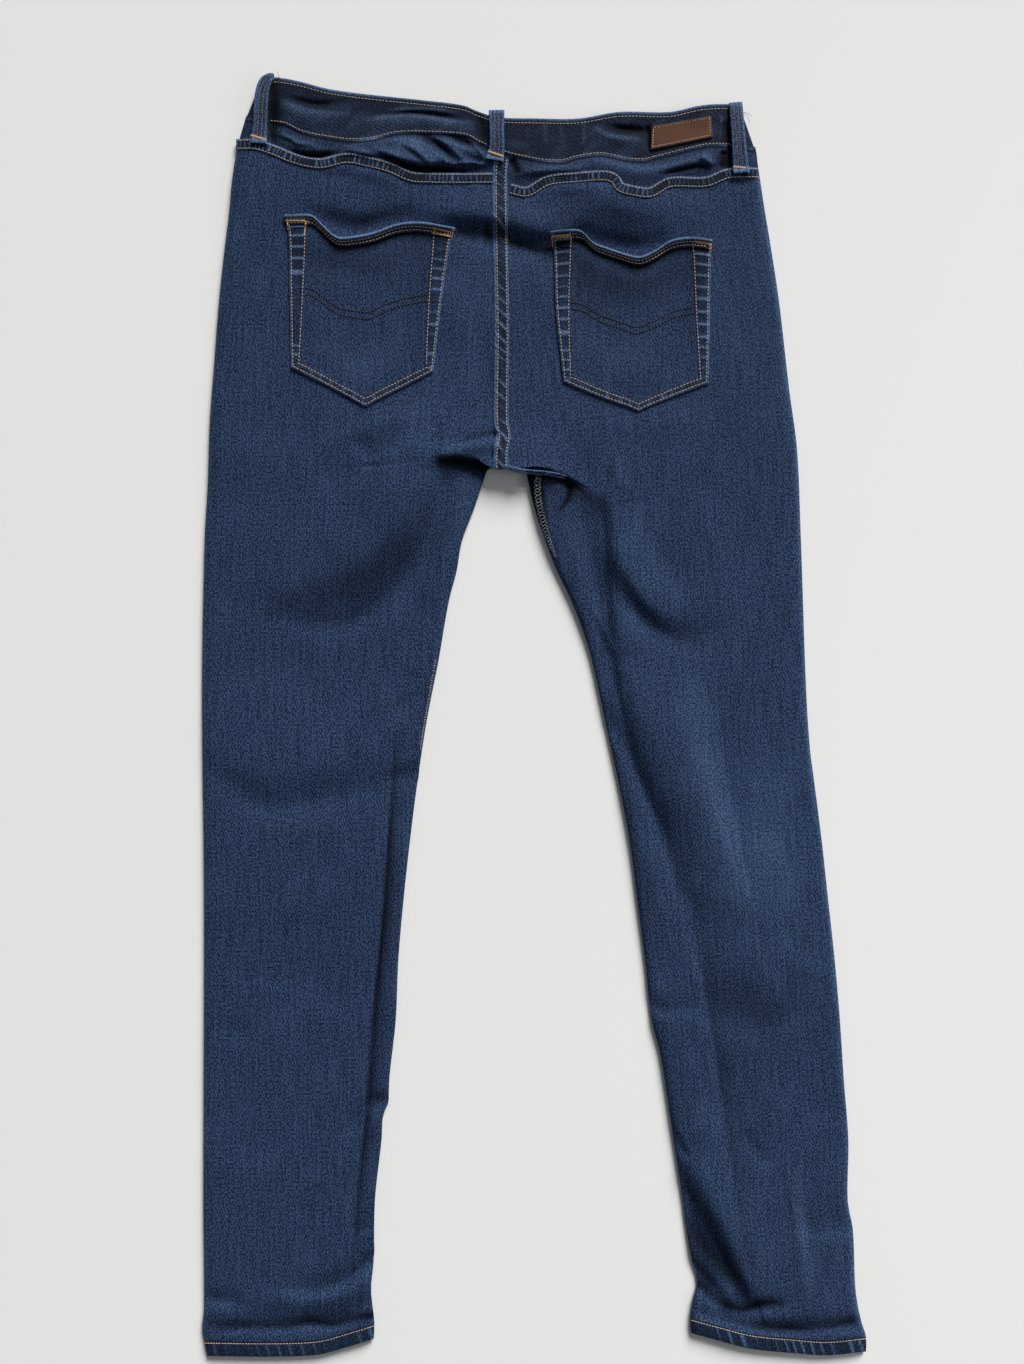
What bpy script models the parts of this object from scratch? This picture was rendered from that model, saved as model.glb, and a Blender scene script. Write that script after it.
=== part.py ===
"""Skinny jeans in stretch denim, laid flat with the back up.

The waist points along +Y, the back faces +Z and the front lies on z = 0. The wearer's left is at -X.
Tables give `across` (along X from the middle of the garment) and `down` (from the top of the
waistband towards the hems) in millimetres.
"""
import math
from collections import namedtuple

import bmesh
import bpy
from mathutils import Vector

MM = 0.001

# Driving sizes
LENGTH = 990.0  # top of the back waistband to the lower hem
MIDDLE = 0.5  # across value that lies on x = 0
CLOTH = 1.2  # denim
BAND_CLOTH = 2.0  # waistband, two layers and its turned edges
BAND_STAND = 0.8  # the band's face stands this far above the yoke's
HEM_CLOTH = 1.9  # hem, turned up twice
LOOP_CLOTH = 1.6
LEATHER = 1.3
GAP = 0.3  # between neighbouring pieces
SEAM_UP = 2.3  # height of the side seams and inseams above the floor
ROLL = 7.0  # how far in from a side the back panel reaches its full height
CURL = 5.0  # how far in from a side the front panel leaves the floor
CENTRE = -22.0  # across value of the centre back and centre front seams
CROTCH = 304.0  # down value of the crotch
FRONT_DROP = 31.0  # the front of the band lies this much lower than its back at the centre
BAND_WIDTH = 37.0
LOOP_WIDTH = 12.0
LOOP_BOW = 1.4  # the middle of a loop stands off the band
BUTTON_RADIUS = 8.5
BUTTON_UP = 2.2
BUTTON_LIFT = 2.9  # the band rises over the button by this much
BUTTON_SPREAD = 30.0
BUTTON_ACROSS = -32.0
ZIP_WIDTH = 26.0
OVERLAP = 18.0  # the ends of the band pass the centre by this much

# Outline seen from above
Edge = namedtuple("Edge", "down across")

LEFT_SIDE = (
    Edge(3, -209), Edge(36, -222), Edge(58, -229), Edge(105, -234), Edge(175, -242), Edge(267, -249),
    Edge(360, -253), Edge(475, -255), Edge(637, -254), Edge(868, -254), Edge(990, -252),
)
RIGHT_SIDE = (
    Edge(26, 159), Edge(60, 171), Edge(105, 178), Edge(175, 189), Edge(244, 197), Edge(313, 204), Edge(406, 207),
    Edge(475, 210), Edge(544, 216), Edge(637, 227), Edge(729, 236), Edge(822, 243), Edge(868, 243),
    Edge(937, 248), Edge(990, 257),
)
LEFT_INSEAM = (
    Edge(300, -34), Edge(336, -46), Edge(383, -59), Edge(452, -73), Edge(544, -89), Edge(637, -100),
    Edge(729, -106), Edge(775, -111), Edge(822, -117), Edge(868, -122), Edge(937, -125), Edge(990, -123),
)
RIGHT_INSEAM = (
    Edge(300, -8), Edge(336, 1), Edge(383, 18), Edge(429, 38), Edge(498, 55), Edge(591, 74),
    Edge(683, 86), Edge(775, 101), Edge(868, 115), Edge(914, 122), Edge(940, 126), Edge(965, 122),
    Edge(990, 123),
)

# Seam lines, read from left to right
Point = namedtuple("Point", "across down")

BAND_TOP = (
    Point(-209, 3), Point(-178, 7), Point(-132, 16), Point(-85, 21), Point(-54, 25), Point(-28, 34),
    Point(35, 35), Point(66, 30), Point(105, 30), Point(129, 25), Point(159, 26),
)
BAND_BOTTOM = (
    Point(-222, 36), Point(-191, 40), Point(-159, 50), Point(-130, 52), Point(-100, 46), Point(-52, 48),
    Point(-24, 61), Point(22, 68), Point(52, 63), Point(84, 67), Point(113, 60), Point(140, 56),
    Point(171, 60),
)
YOKE_SEAM = (
    Point(-229, 60), Point(-205, 62), Point(-175, 73), Point(-144, 70), Point(-115, 76), Point(-90, 84),
    Point(-40, 84), Point(-24, 91), Point(-5, 95), Point(17, 86), Point(56, 83), Point(78, 94),
    Point(102, 90), Point(133, 87), Point(176, 83),
)
SEAT_LIP = (
    Point(-253, 306), Point(-130, 300), Point(-70, 295), Point(-56, 294), Point(-44, 297),
    Point(-34, 303), Point(-20, 305), Point(5, 303), Point(27, 311), Point(45, 320), Point(60, 327),
    Point(90, 322), Point(204, 312),
)
LEFT_HEM = (Point(-254, 977), Point(-202, 977), Point(-166, 975), Point(-143, 969), Point(-122, 963))
RIGHT_HEM = (Point(121, 959), Point(144, 966), Point(168, 972), Point(203, 975), Point(257, 974))
HEM_DEPTH = 11.5

# Heights of the back above the floor, and its main folds
Rise = namedtuple("Rise", "down up")

BODY_RISE = (
    Rise(0, 7.0), Rise(40, 7.6), Rise(62, 9.6), Rise(90, 9.8), Rise(120, 8.2), Rise(200, 6.8),
    Rise(290, 7.0), Rise(330, 5.6), Rise(450, 5.2), Rise(700, 5.0), Rise(900, 5.2), Rise(960, 5.8),
    Rise(990, 5.6),
)
# `left` and `right` are the widths to either side of somebody who walks along the line
Fold = namedtuple("Fold", "name line up left right")

FOLDS = (
    Fold("seat_lip", ((-95, 298), (-70, 295), (-56, 294), (-34, 303), (-20, 305), (5, 303), (27, 311),
                      (45, 320), (62, 330)), 4.6, 32, 1.4),
    Fold("left_crotch_hollow", ((-78, 304), (-60, 302), (-40, 308)), -1.6, 6, 14),
    Fold("left_thigh_crescent", ((-68, 304), (-82, 335), (-97, 367), (-119, 393), (-150, 424)), -1.9, 14, 14),
    Fold("left_thigh_swell", ((-50, 330), (-70, 380), (-84, 440)), 1.6, 18, 18),
    Fold("left_thigh_ridge", ((-113, 306), (-145, 332), (-176, 361)), 1.5, 18, 18),
    Fold("left_knee_crease", ((-241, 537), (-220, 555), (-199, 565), (-160, 550), (-92, 543)), -1.5, 14, 14),
    Fold("left_shin_ridge", ((-205, 640), (-190, 740), (-195, 850)), 1.3, 30, 30),
    Fold("left_ankle_pinch", ((-127, 914), (-146, 920), (-170, 940)), -1.6, 12, 12),
    Fold("right_crotch_hollow", ((2, 312), (28, 320), (46, 340)), -1.6, 6, 14),
    Fold("right_thigh_ridge", ((58, 340), (70, 370), (102, 411)), 2.0, 16, 16),
    Fold("right_thigh_crescent", ((62, 385), (81, 419), (118, 434)), -1.8, 12, 12),
    Fold("right_knee_valley", ((64, 500), (92, 544), (112, 584), (139, 640)), -1.8, 15, 15),
    Fold("right_knee_ridge", ((124, 470), (139, 531), (152, 584), (168, 650)), 2.2, 18, 14),
    Fold("right_shin_fold", ((118, 655), (134, 708), (141, 756), (153, 815), (162, 890)), -1.6, 12, 16),
    Fold("right_shin_ridge", ((100, 690), (118, 760), (128, 840)), 1.6, 14, 14),
    Fold("right_ankle_crease", ((120, 868), (134, 893), (146, 911), (166, 940)), -2.0, 11, 11),
    Fold("right_ankle_ridge", ((196, 850), (205, 900), (213, 944)), 1.6, 15, 15),
    Fold("left_yoke_bulge", ((-112, 58), (-92, 57), (-60, 63), (-34, 68)), 4.2, 7, 8),
    Fold("right_yoke_bulge", ((58, 76), (95, 76), (138, 68)), 3.4, 8, 8),
    Fold("left_yoke_dip", ((-196, 52), (-172, 60), (-150, 58)), -2.4, 8, 8),
    Fold("seat_centre_dip", ((-66, 116), (-40, 119), (-6, 122), (18, 124)), -1.5, 11, 11),
    Fold("left_pocket_dip", ((-176, 104), (-150, 116), (-112, 110)), -1.2, 12, 12),
    Fold("right_pocket_dip", ((34, 116), (80, 128), (110, 118)), -1.4, 12, 12),
)
FOLD_TAPER = 0.25  # share of a fold's length over which each of its ends dies away

# Pockets: left and right end of each row of the patch, from its mouth to its point
PocketRow = namedtuple("PocketRow", "left_across left_down right_across right_down sag")

LEFT_POCKET = (
    PocketRow(-192, 109, -60, 119, 8.0), PocketRow(-190, 125, -63, 131, 6.0),
    PocketRow(-189, 146, -66, 150, 3.0), PocketRow(-188, 167, -69, 169, 1.0),
    PocketRow(-187.5, 188, -72, 189, 1.0), PocketRow(-187, 208, -74.5, 209, 8.0),
    PocketRow(-187, 227, -77, 230, 28.5),
)
RIGHT_POCKET = (
    PocketRow(12, 122, 138, 128, 12.0), PocketRow(15, 138, 137, 143, 8.0),
    PocketRow(16, 157, 136.5, 160, 4.0), PocketRow(18, 177, 136, 179, 1.0),
    PocketRow(20, 198, 135.5, 199, 1.0), PocketRow(21.5, 219, 135, 219, 8.0),
    PocketRow(23, 238, 135, 239, 21.5),
)
POCKET_TIP = 0.52  # where along its width a pocket hangs lowest
MOUTH_GAPE = 1.2  # the mouth stands off the seat

# Belt loops: middle of the top and bottom end of each
Loop = namedtuple("Loop", "name top_across top_down bottom_across bottom_down")

LOOPS = (
    Loop("loop_left", -204.5, 1.5, -208.5, 52.0),
    Loop("loop_centre", -29.0, 29.0, -29.0, 67.0),
    Loop("loop_right", 155.0, 23.0, 160.0, 76.0),
)
# Leather patch: corners, from the top left and round to the right
PATCH = (Point(91, 41), Point(137, 33), Point(138, 49), Point(90, 59))

DENIM = (0.030, 0.052, 0.115)
DENIM_BAND = (0.022, 0.034, 0.075)
TAN_LEATHER = (0.12, 0.045, 0.028)
BRASS = (0.55, 0.36, 0.14)
ZIP_METAL = (0.40, 0.28, 0.12)


def clear_scene():
    for obj in list(bpy.data.objects):
        bpy.data.objects.remove(obj, do_unlink=True)


def material(name, colour, roughness, metallic=0.0):
    mat = bpy.data.materials.new(name)
    mat.use_nodes = True
    shader = mat.node_tree.nodes["Principled BSDF"]
    shader.inputs["Base Color"].default_value = (*colour, 1.0)
    shader.inputs["Roughness"].default_value = roughness
    shader.inputs["Metallic"].default_value = metallic
    return mat


def place(across, down, up):
    """A point of the garment, in metres."""
    return Vector(((across - MIDDLE) * MM, (LENGTH / 2 - down) * MM, up * MM))


def smooth_at(rows, key):
    """Value of a two-column table at key, along a smooth curve through its rows."""
    if key <= rows[0][0]:
        return rows[0][1]
    if key >= rows[-1][0]:
        return rows[-1][1]
    i = next(k for k in range(len(rows) - 1) if key <= rows[k + 1][0])
    (x0, y0), (x1, y1) = rows[i], rows[i + 1]
    before = rows[max(i - 1, 0)]
    after = rows[min(i + 2, len(rows) - 1)]
    slope0 = (y1 - before[1]) / (x1 - before[0])
    slope1 = (after[1] - y0) / (after[0] - x0)
    span = x1 - x0
    t = (key - x0) / span
    return (y0 * (1 + 2 * t) * (1 - t) ** 2 + slope0 * span * t * (1 - t) ** 2
            + y1 * t * t * (3 - 2 * t) + slope1 * span * t * t * (t - 1))


def line(points, shift=0.0):
    """A seam line as a function: across gives down."""
    return lambda across: smooth_at(points, across) + shift


def level(down):
    return lambda across: down


def nearest_on(points, across, down):
    """Distance from a line, which side of it, and the share of its length to its nearer end."""
    best, side, along, run = math.inf, 1.0, 0.0, 0.0
    for (ax, ad), (bx, bd) in zip(points, points[1:]):
        dx, dd = bx - ax, bd - ad
        length = math.hypot(dx, dd)
        t = max(0.0, min(1.0, ((across - ax) * dx + (down - ad) * dd) / length ** 2))
        ox, od = across - ax - t * dx, down - ad - t * dd
        gap = math.hypot(ox, od)
        if gap < best:
            best, along = gap, run + t * length
            side = 1.0 if dd * ox - dx * od > 0 else -1.0
        run += length
    return best, side, min(along, run - along) / run


def ease(t):
    t = max(0.0, min(1.0, t))
    return t * t * (3 - 2 * t)


def back_height(across, down):
    """Height of the outer face of the back above the floor."""
    up = smooth_at(BODY_RISE, down)
    for fold in FOLDS:
        gap, side, end = nearest_on(fold.line, across, down)
        width = fold.left if side > 0 else fold.right
        up += fold.up * math.exp(-(gap / width) ** 2) * ease(end / FOLD_TAPER)
    return up


def rounding(gap, reach):
    """Quarter ellipse: 0 on an edge, 1 at reach and further in."""
    return math.sqrt(1 - (1 - min(gap, reach) / reach) ** 2)


# Where the columns of a panel lie, from each of its long edges
EDGE_STEPS = (0.0, 0.9, 3.0, 7.0)
INNER_COLUMNS = 12


def columns(width):
    """Distances from the side edge to each column of a panel."""
    first, last = EDGE_STEPS[-1], width - EDGE_STEPS[-1]
    inner = [first + (last - first) * k / INNER_COLUMNS for k in range(1, INNER_COLUMNS)]
    return list(EDGE_STEPS) + inner + [width - step for step in reversed(EDGE_STEPS)]


def row_ends(side, inseam, row):
    """Across values of both ends of a row. Above the crotch it ends at the centre seam."""
    side_across = smooth_at(side, row(side[0].across))
    side_across = smooth_at(side, row(side_across))
    toward = 1 if side_across < CENTRE else -1
    if inseam is None:
        return side_across, CENTRE - toward * GAP / 2, toward
    start = inseam[0].across
    inner = smooth_at(inseam, row(start))
    return side_across, smooth_at(inseam, row(inner)), toward


def back_row(side, inseam, row):
    """Outer and inner points of one row of a back panel or yoke."""
    start, end, toward = row_ends(side, inseam, row)
    width = abs(end - start)
    outer, inner = [], []
    for gap in columns(width):
        far = width - gap if inseam else ROLL
        across = start + toward * gap
        down = row(across)
        up = back_height(across, down)
        turn = rounding(gap, ROLL) * rounding(far, ROLL)
        seam = SEAM_UP + GAP / 2
        outer.append(place(across, down, seam + (up - seam) * turn))
        shift = CLOTH * (max(0.0, 1 - gap / ROLL) - max(0.0, 1 - far / ROLL))
        slope = (back_height(across, down + 1) - back_height(across, down - 1)) / 2
        lean = CLOTH * slope / math.hypot(1, slope) * turn
        thick = CLOTH / math.hypot(1, slope)
        inner.append(place(across + toward * shift, down + lean, seam + (up - thick - seam) * turn))
    return outer, inner


def button_lift(across, down):
    """How far the front rises over the button."""
    gap = math.hypot(across - BUTTON_ACROSS, down - button_down())
    return BUTTON_LIFT * math.exp(-(gap / BUTTON_SPREAD) ** 2)


def front_row(side, inseam, row):
    """Outer and inner points of one row of a front panel."""
    start, end, toward = row_ends(side, inseam, row)
    width = abs(end - start)
    outer, inner = [], []
    for gap in columns(width)[::2]:
        far = width - gap if inseam else CURL
        across = start + toward * gap
        down = row(across)
        flat = rounding(gap, CURL) * rounding(far, CURL)
        lift = button_lift(across, down)
        seam = SEAM_UP - GAP / 2
        outer.append(place(across, down, seam * (1 - flat) + lift))
        shift = CLOTH * (max(0.0, 1 - gap / CURL) - max(0.0, 1 - far / CURL))
        inner.append(place(across + toward * shift, down, CLOTH + (seam - CLOTH) * (1 - flat) + lift))
    return outer, inner


def between(first, last, count, include_last=False):
    """Row lines spread evenly from one line to another."""
    steps = range(count + 1) if include_last else range(count)
    return [lambda across, t=k / count: first(across) * (1 - t) + last(across) * t for k in steps]


def new_object(name, mesh_data, mat):
    mesh = bpy.data.meshes.new(name)
    mesh_data.to_mesh(mesh)
    mesh_data.free()
    mesh.materials.append(mat)
    obj = bpy.data.objects.new(name, mesh)
    bpy.context.scene.collection.objects.link(obj)
    return obj


def wall(name, rows, mat, ring=False):
    """Closed cloth wall from rows of outer and inner points. A ring joins its last column to its first."""
    bm = bmesh.new()
    outer = [[bm.verts.new(point) for point in row[0]] for row in rows]
    inner = [[bm.verts.new(point) for point in row[1]] for row in rows]
    count = len(outer[0])
    spans = [(i, (i + 1) % count) for i in range(count if ring else count - 1)]
    for face in (outer, inner):
        for upper, lower in zip(face, face[1:]):
            for i, j in spans:
                bm.faces.new((upper[i], upper[j], lower[j], lower[i]))
    for out_row, in_row in ((outer[0], inner[0]), (outer[-1], inner[-1])):
        for i, j in spans:
            bm.faces.new((out_row[i], out_row[j], in_row[j], in_row[i]))
    if not ring:
        for i in (0, -1):
            for k in range(len(rows) - 1):
                bm.faces.new((outer[k][i], outer[k + 1][i], inner[k + 1][i], inner[k][i]))
    bmesh.ops.recalc_face_normals(bm, faces=bm.faces)
    bmesh.ops.triangulate(bm, faces=bm.faces)
    return new_object(name, bm, mat)


# --- legs -----------------------------------------------------------------------------------------

LIP_DROP = 1.8  # the leg comes out from under the seat this far below the lip


def back_panel(name, side, inseam, hem, mat):
    """Back of one leg and its half of the seat, from the yoke seam to the hem."""
    top = line(YOKE_SEAM, GAP)
    lip = line(SEAT_LIP)
    under = line(SEAT_LIP, LIP_DROP)
    seat = between(top, level(150), 3) + between(level(150), level(270), 5)
    seat += between(level(270), lip, 3, include_last=True)
    leg = between(under, level(385), 4) + between(level(385), level(860), 17)
    leg += between(level(860), level(945), 4) + between(level(945), line(hem, -GAP), 2, include_last=True)
    rows = [back_row(side, None, row) for row in seat]
    rows += [back_row(side, inseam, row) for row in leg]
    return wall(name, rows, mat)


def front_body_rows():
    """Rows of the front from the band to the crotch, close together where it rises over the button."""
    top = line(front_band_bottom(), GAP)
    below = line(front_band_bottom(), BUTTON_SPREAD * 1.5)
    return between(top, below, 4) + between(below, level(CROTCH - 3), 3, include_last=True)


def front_panel(name, side, inseam, hem, mat):
    """Front of one leg, flat on the floor, from the band to the hem."""
    body = front_body_rows()
    leg = between(level(CROTCH + 4), level(940), 9) + between(level(940), line(hem, -GAP), 2, include_last=True)
    rows = [front_row(side, None, row) for row in body]
    rows += [front_row(side, inseam, row) for row in leg]
    return wall(name, rows, mat)


def hem_ring(name, side, inseam, hem, mat):
    """Turned-up hem: a tube that goes all round the end of a leg."""
    rows = []
    for share in (0.0, 0.5, 1.0):
        row = line(hem, HEM_DEPTH * share)
        start, end, toward = row_ends(side, inseam, row)
        width = abs(end - start)
        outer, inner = [], []
        gaps = columns(width)
        for gap in gaps + gaps[-3:0:-2]:
            over = len(outer) < len(gaps)
            reach = ROLL if over else CURL
            turn = rounding(gap, reach) * rounding(width - gap, reach)
            across = start + toward * gap
            down = row(across)
            shift = HEM_CLOTH * (max(0.0, 1 - gap / reach) - max(0.0, 1 - (width - gap) / reach))
            if over:
                up = SEAM_UP + (back_height(across, down) - SEAM_UP) * turn
                inside = SEAM_UP + (back_height(across, down) - HEM_CLOTH - SEAM_UP) * turn
            else:
                up = SEAM_UP * (1 - turn)
                inside = HEM_CLOTH + (SEAM_UP - HEM_CLOTH) * (1 - turn)
            outer.append(place(across, down, up))
            inner.append(place(across + toward * shift, down, inside))
        rows.append((outer, inner))
    return wall(name, rows, mat, ring=True)


# --- waist ----------------------------------------------------------------------------------------

def front_band_top():
    """Top edge of the band where it crosses the front, lower than across the back."""
    left, right = BAND_TOP[0], BAND_TOP[-1]
    middle = smooth_at(BAND_TOP, CENTRE) + FRONT_DROP
    return (
        left,
        Point((2 * left.across + CENTRE) / 3, left.down + 0.62 * (middle - left.down)),
        Point((left.across + 3 * CENTRE) / 4, middle - 3),
        Point(CENTRE, middle),
        Point((right.across + 3 * CENTRE) / 4, middle - 2),
        Point((2 * right.across + CENTRE) / 3, right.down + 0.7 * (middle - right.down)),
        right,
    )


def front_band_bottom():
    """Bottom edge of the band where it crosses the front."""
    top = front_band_top()
    left, right = BAND_BOTTOM[0], BAND_BOTTOM[-1]
    inner = [Point(point.across, point.down + BAND_WIDTH) for point in top[1:-1]]
    return (left, *inner, right)


def button_down():
    return smooth_at(front_band_top(), BUTTON_ACROSS) + BAND_WIDTH / 2


FOLD_ANGLES = (-60, -30, 0, 30, 60)  # columns of the band round each of its side folds


def seam_columns(side, seam, step):
    """Across values of the columns of the panel that is sewn to the band along a seam."""
    start, end, toward = row_ends(side, None, seam)
    return [start + toward * gap for gap in columns(abs(end - start))[::step]]


def band_path(share):
    """One row of the band, from its inner end at the centre front, round the back, to its outer end."""
    top, bottom = line(BAND_TOP), line(BAND_BOTTOM)
    under_top, under_bottom = line(front_band_top()), line(front_band_bottom())
    left = BAND_TOP[0].across * (1 - share) + BAND_BOTTOM[0].across * share
    right = BAND_TOP[-1].across * (1 - share) + BAND_BOTTOM[-1].across * share
    outer, inner = [], []

    def on_back(across):
        return top(across) * (1 - share) + bottom(across) * share

    def on_front(across):
        return under_top(across) * (1 - share) + under_bottom(across) * share

    def on_row(across):
        """Across value of a column of the lower edge, on this row."""
        low, high = BAND_BOTTOM[0].across, BAND_BOTTOM[-1].across
        return left + (across - low) / (high - low) * (right - left)

    def front_point(across, lift):
        down = on_front(across)
        up = lift + button_lift(across, down)
        outer.append(place(across, down, up))
        inner.append(place(across, down, up + BAND_CLOTH))

    def back_point(across):
        down = on_back(across)
        up = back_height(across, down) + BAND_STAND
        outer.append(place(across, down, up))
        inner.append(place(across, down, up - BAND_CLOTH))

    def side_fold(edge, toward, angles):
        top_up = back_height(edge + toward * ROLL, on_back(edge)) + BAND_STAND - SEAM_UP
        for angle in angles:
            c, s = math.cos(math.radians(angle)), math.sin(math.radians(angle))
            across = edge + toward * ROLL * (1 - c)
            inside = edge + toward * (ROLL - (ROLL - BAND_CLOTH) * c)
            down = on_back(across) if angle > 0 else on_front(across)
            reach = top_up if angle > 0 else SEAM_UP
            outer.append(place(across, down, SEAM_UP + reach * s))
            inner.append(place(inside, down, SEAM_UP + (reach - BAND_CLOTH) * s))

    left_front = seam_columns(LEFT_SIDE, under_bottom, 2)[2:-3]
    right_front = seam_columns(RIGHT_SIDE, under_bottom, 2)[2:-2]
    left_back = seam_columns(LEFT_SIDE, bottom, 1)[3:-1]
    right_back = seam_columns(RIGHT_SIDE, bottom, 1)[3:-1]
    under_lift = BAND_CLOTH + GAP
    front_point(CENTRE + OVERLAP, under_lift)
    front_point(CENTRE - OVERLAP - BAND_CLOTH, under_lift)
    for across in reversed(left_front):
        front_point(on_row(across), 0.0)
    side_fold(left, 1, FOLD_ANGLES)
    for across in left_back + [CENTRE] + right_back[::-1]:
        back_point(on_row(across))
    side_fold(right, -1, FOLD_ANGLES[::-1])
    for across in right_front:
        front_point(on_row(across), 0.0)
    for across in (CENTRE, CENTRE - EDGE_STEPS[2], CENTRE - OVERLAP):
        front_point(across, 0.0)
    return outer, inner


def waistband(mat):
    """One strip of doubled cloth right round the waist, its ends lapped at the centre front."""
    return wall("waistband", [band_path(k / 3) for k in range(4)], mat)


def yoke(name, side, mat):
    """Yoke between the band and the yoke seam."""
    rows = between(line(BAND_BOTTOM, GAP), line(YOKE_SEAM), 5, include_last=True)
    return wall(name, [back_row(side, None, row) for row in rows], mat)


def button(mat):
    """Shank button's head, face down on the floor under the outer end of the band."""
    bm = bmesh.new()
    rings = []
    middle = place(BUTTON_ACROSS, button_down(), 0)
    for radius, up in ((BUTTON_RADIUS - 0.8, 0.0), (BUTTON_RADIUS, 0.7), (BUTTON_RADIUS, 1.4),
                       (BUTTON_RADIUS - 1.0, BUTTON_UP)):
        ring = []
        for k in range(20):
            turn = math.tau * k / 20
            offset = Vector((radius * math.cos(turn), radius * math.sin(turn), up)) * MM
            ring.append(bm.verts.new(middle + offset))
        rings.append(ring)
    for lower, upper in zip(rings, rings[1:]):
        for k in range(20):
            j = (k + 1) % 20
            bm.faces.new((lower[k], lower[j], upper[j], upper[k]))
    bm.faces.new(rings[0])
    bm.faces.new(rings[-1])
    bmesh.ops.recalc_face_normals(bm, faces=bm.faces)
    return new_object("button", bm, mat)


def fly_zip(mat):
    """Zip tape along the inner face of the front, below the band."""
    rows = []
    for row in front_body_rows()[:-1]:
        outer, inner = [], []
        for across in (CENTRE - ZIP_WIDTH / 2, CENTRE, CENTRE + ZIP_WIDTH / 2):
            down = row(across)
            up = CLOTH + 2 * GAP + button_lift(across, down)
            outer.append(place(across, down, up))
            inner.append(place(across, down, up + CLOTH))
        rows.append((outer, inner))
    return wall("fly_zip", rows, mat)


# --- what lies on the back ------------------------------------------------------------------------

def laid_on(across, down, lift):
    """Height of a point that lies on the back of the seat or waist, lifted off it."""
    left_gap = across - smooth_at(LEFT_SIDE, down)
    right_gap = smooth_at(RIGHT_SIDE, down) - across
    turn = rounding(max(min(left_gap, right_gap), 0.0), ROLL)
    seam = SEAM_UP + GAP / 2
    return seam + (back_height(across, down) - seam) * turn + lift


def back_pocket(name, table, mat):
    """Patch pocket, made from the seat's own points, moved out."""
    rows = []
    for index, row in enumerate(table):
        outer, inner = [], []
        gape = MOUTH_GAPE if index == 0 else 0.0
        for k in range(9):
            t = k / 8
            across = row.left_across + (row.right_across - row.left_across) * t
            hang = t / POCKET_TIP if t < POCKET_TIP else (1 - t) / (1 - POCKET_TIP)
            if index < 3:
                hang = math.sin(math.pi * t) ** 1.5
            down = row.left_down + (row.right_down - row.left_down) * t + row.sag * hang
            low = laid_on(across, down, GAP + 0.15) + gape * hang
            outer.append(place(across, down, low + CLOTH))
            inner.append(place(across, down, low))
        rows.append((outer, inner))
    return wall(name, rows, mat)


def belt_loop(loop, mat):
    """Strip over the band, tacked at its top edge and below it on the yoke."""
    rows = []
    for k in range(9):
        t = k / 8
        middle = loop.top_across + (loop.bottom_across - loop.top_across) * t
        down = loop.top_down + (loop.bottom_down - loop.top_down) * t
        stand = BAND_STAND + 2 * GAP + LOOP_BOW * math.sin(math.pi * t) ** 2
        outer, inner = [], []
        for j in range(5):
            across = middle + LOOP_WIDTH * (j / 4 - 0.5)
            low = laid_on(across, down, stand)
            outer.append(place(across, down, low + LOOP_CLOTH))
            inner.append(place(across, down, low))
        rows.append((outer, inner))
    return wall(loop.name, rows, mat)


def leather_patch(mat):
    """Leather patch on the band."""
    top_left, top_right, bottom_right, bottom_left = PATCH
    rows = []
    for k in range(4):
        v = k / 3
        outer, inner = [], []
        for j in range(7):
            u = j / 6
            top = Vector(top_left).lerp(Vector(top_right), u)
            bottom = Vector(bottom_left).lerp(Vector(bottom_right), u)
            across, down = top.lerp(bottom, v)
            low = laid_on(across, down, BAND_STAND + GAP)
            outer.append(place(across, down, low + LEATHER))
            inner.append(place(across, down, low))
        rows.append((outer, inner))
    return wall("patch", rows, mat)


def build():
    clear_scene()
    denim = material("denim", DENIM, 0.85)
    band_denim = material("band_denim", DENIM_BAND, 0.85)
    leather = material("leather", TAN_LEATHER, 0.55)
    brass = material("brass", BRASS, 0.35, 1.0)
    zip_metal = material("zip", ZIP_METAL, 0.5, 0.6)
    front_panel("front_left", LEFT_SIDE, LEFT_INSEAM, LEFT_HEM, denim)
    front_panel("front_right", RIGHT_SIDE, RIGHT_INSEAM, RIGHT_HEM, denim)
    back_panel("back_left", LEFT_SIDE, LEFT_INSEAM, LEFT_HEM, denim)
    back_panel("back_right", RIGHT_SIDE, RIGHT_INSEAM, RIGHT_HEM, denim)
    hem_ring("hem_left", LEFT_SIDE, LEFT_INSEAM, LEFT_HEM, denim)
    hem_ring("hem_right", RIGHT_SIDE, RIGHT_INSEAM, RIGHT_HEM, denim)
    yoke("yoke_left", LEFT_SIDE, denim)
    yoke("yoke_right", RIGHT_SIDE, denim)
    waistband(band_denim)
    back_pocket("pocket_left", LEFT_POCKET, denim)
    back_pocket("pocket_right", RIGHT_POCKET, denim)
    for loop in LOOPS:
        belt_loop(loop, band_denim)
    leather_patch(leather)
    fly_zip(zip_metal)
    button(brass)


build()
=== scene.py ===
import math
from collections import namedtuple

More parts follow.
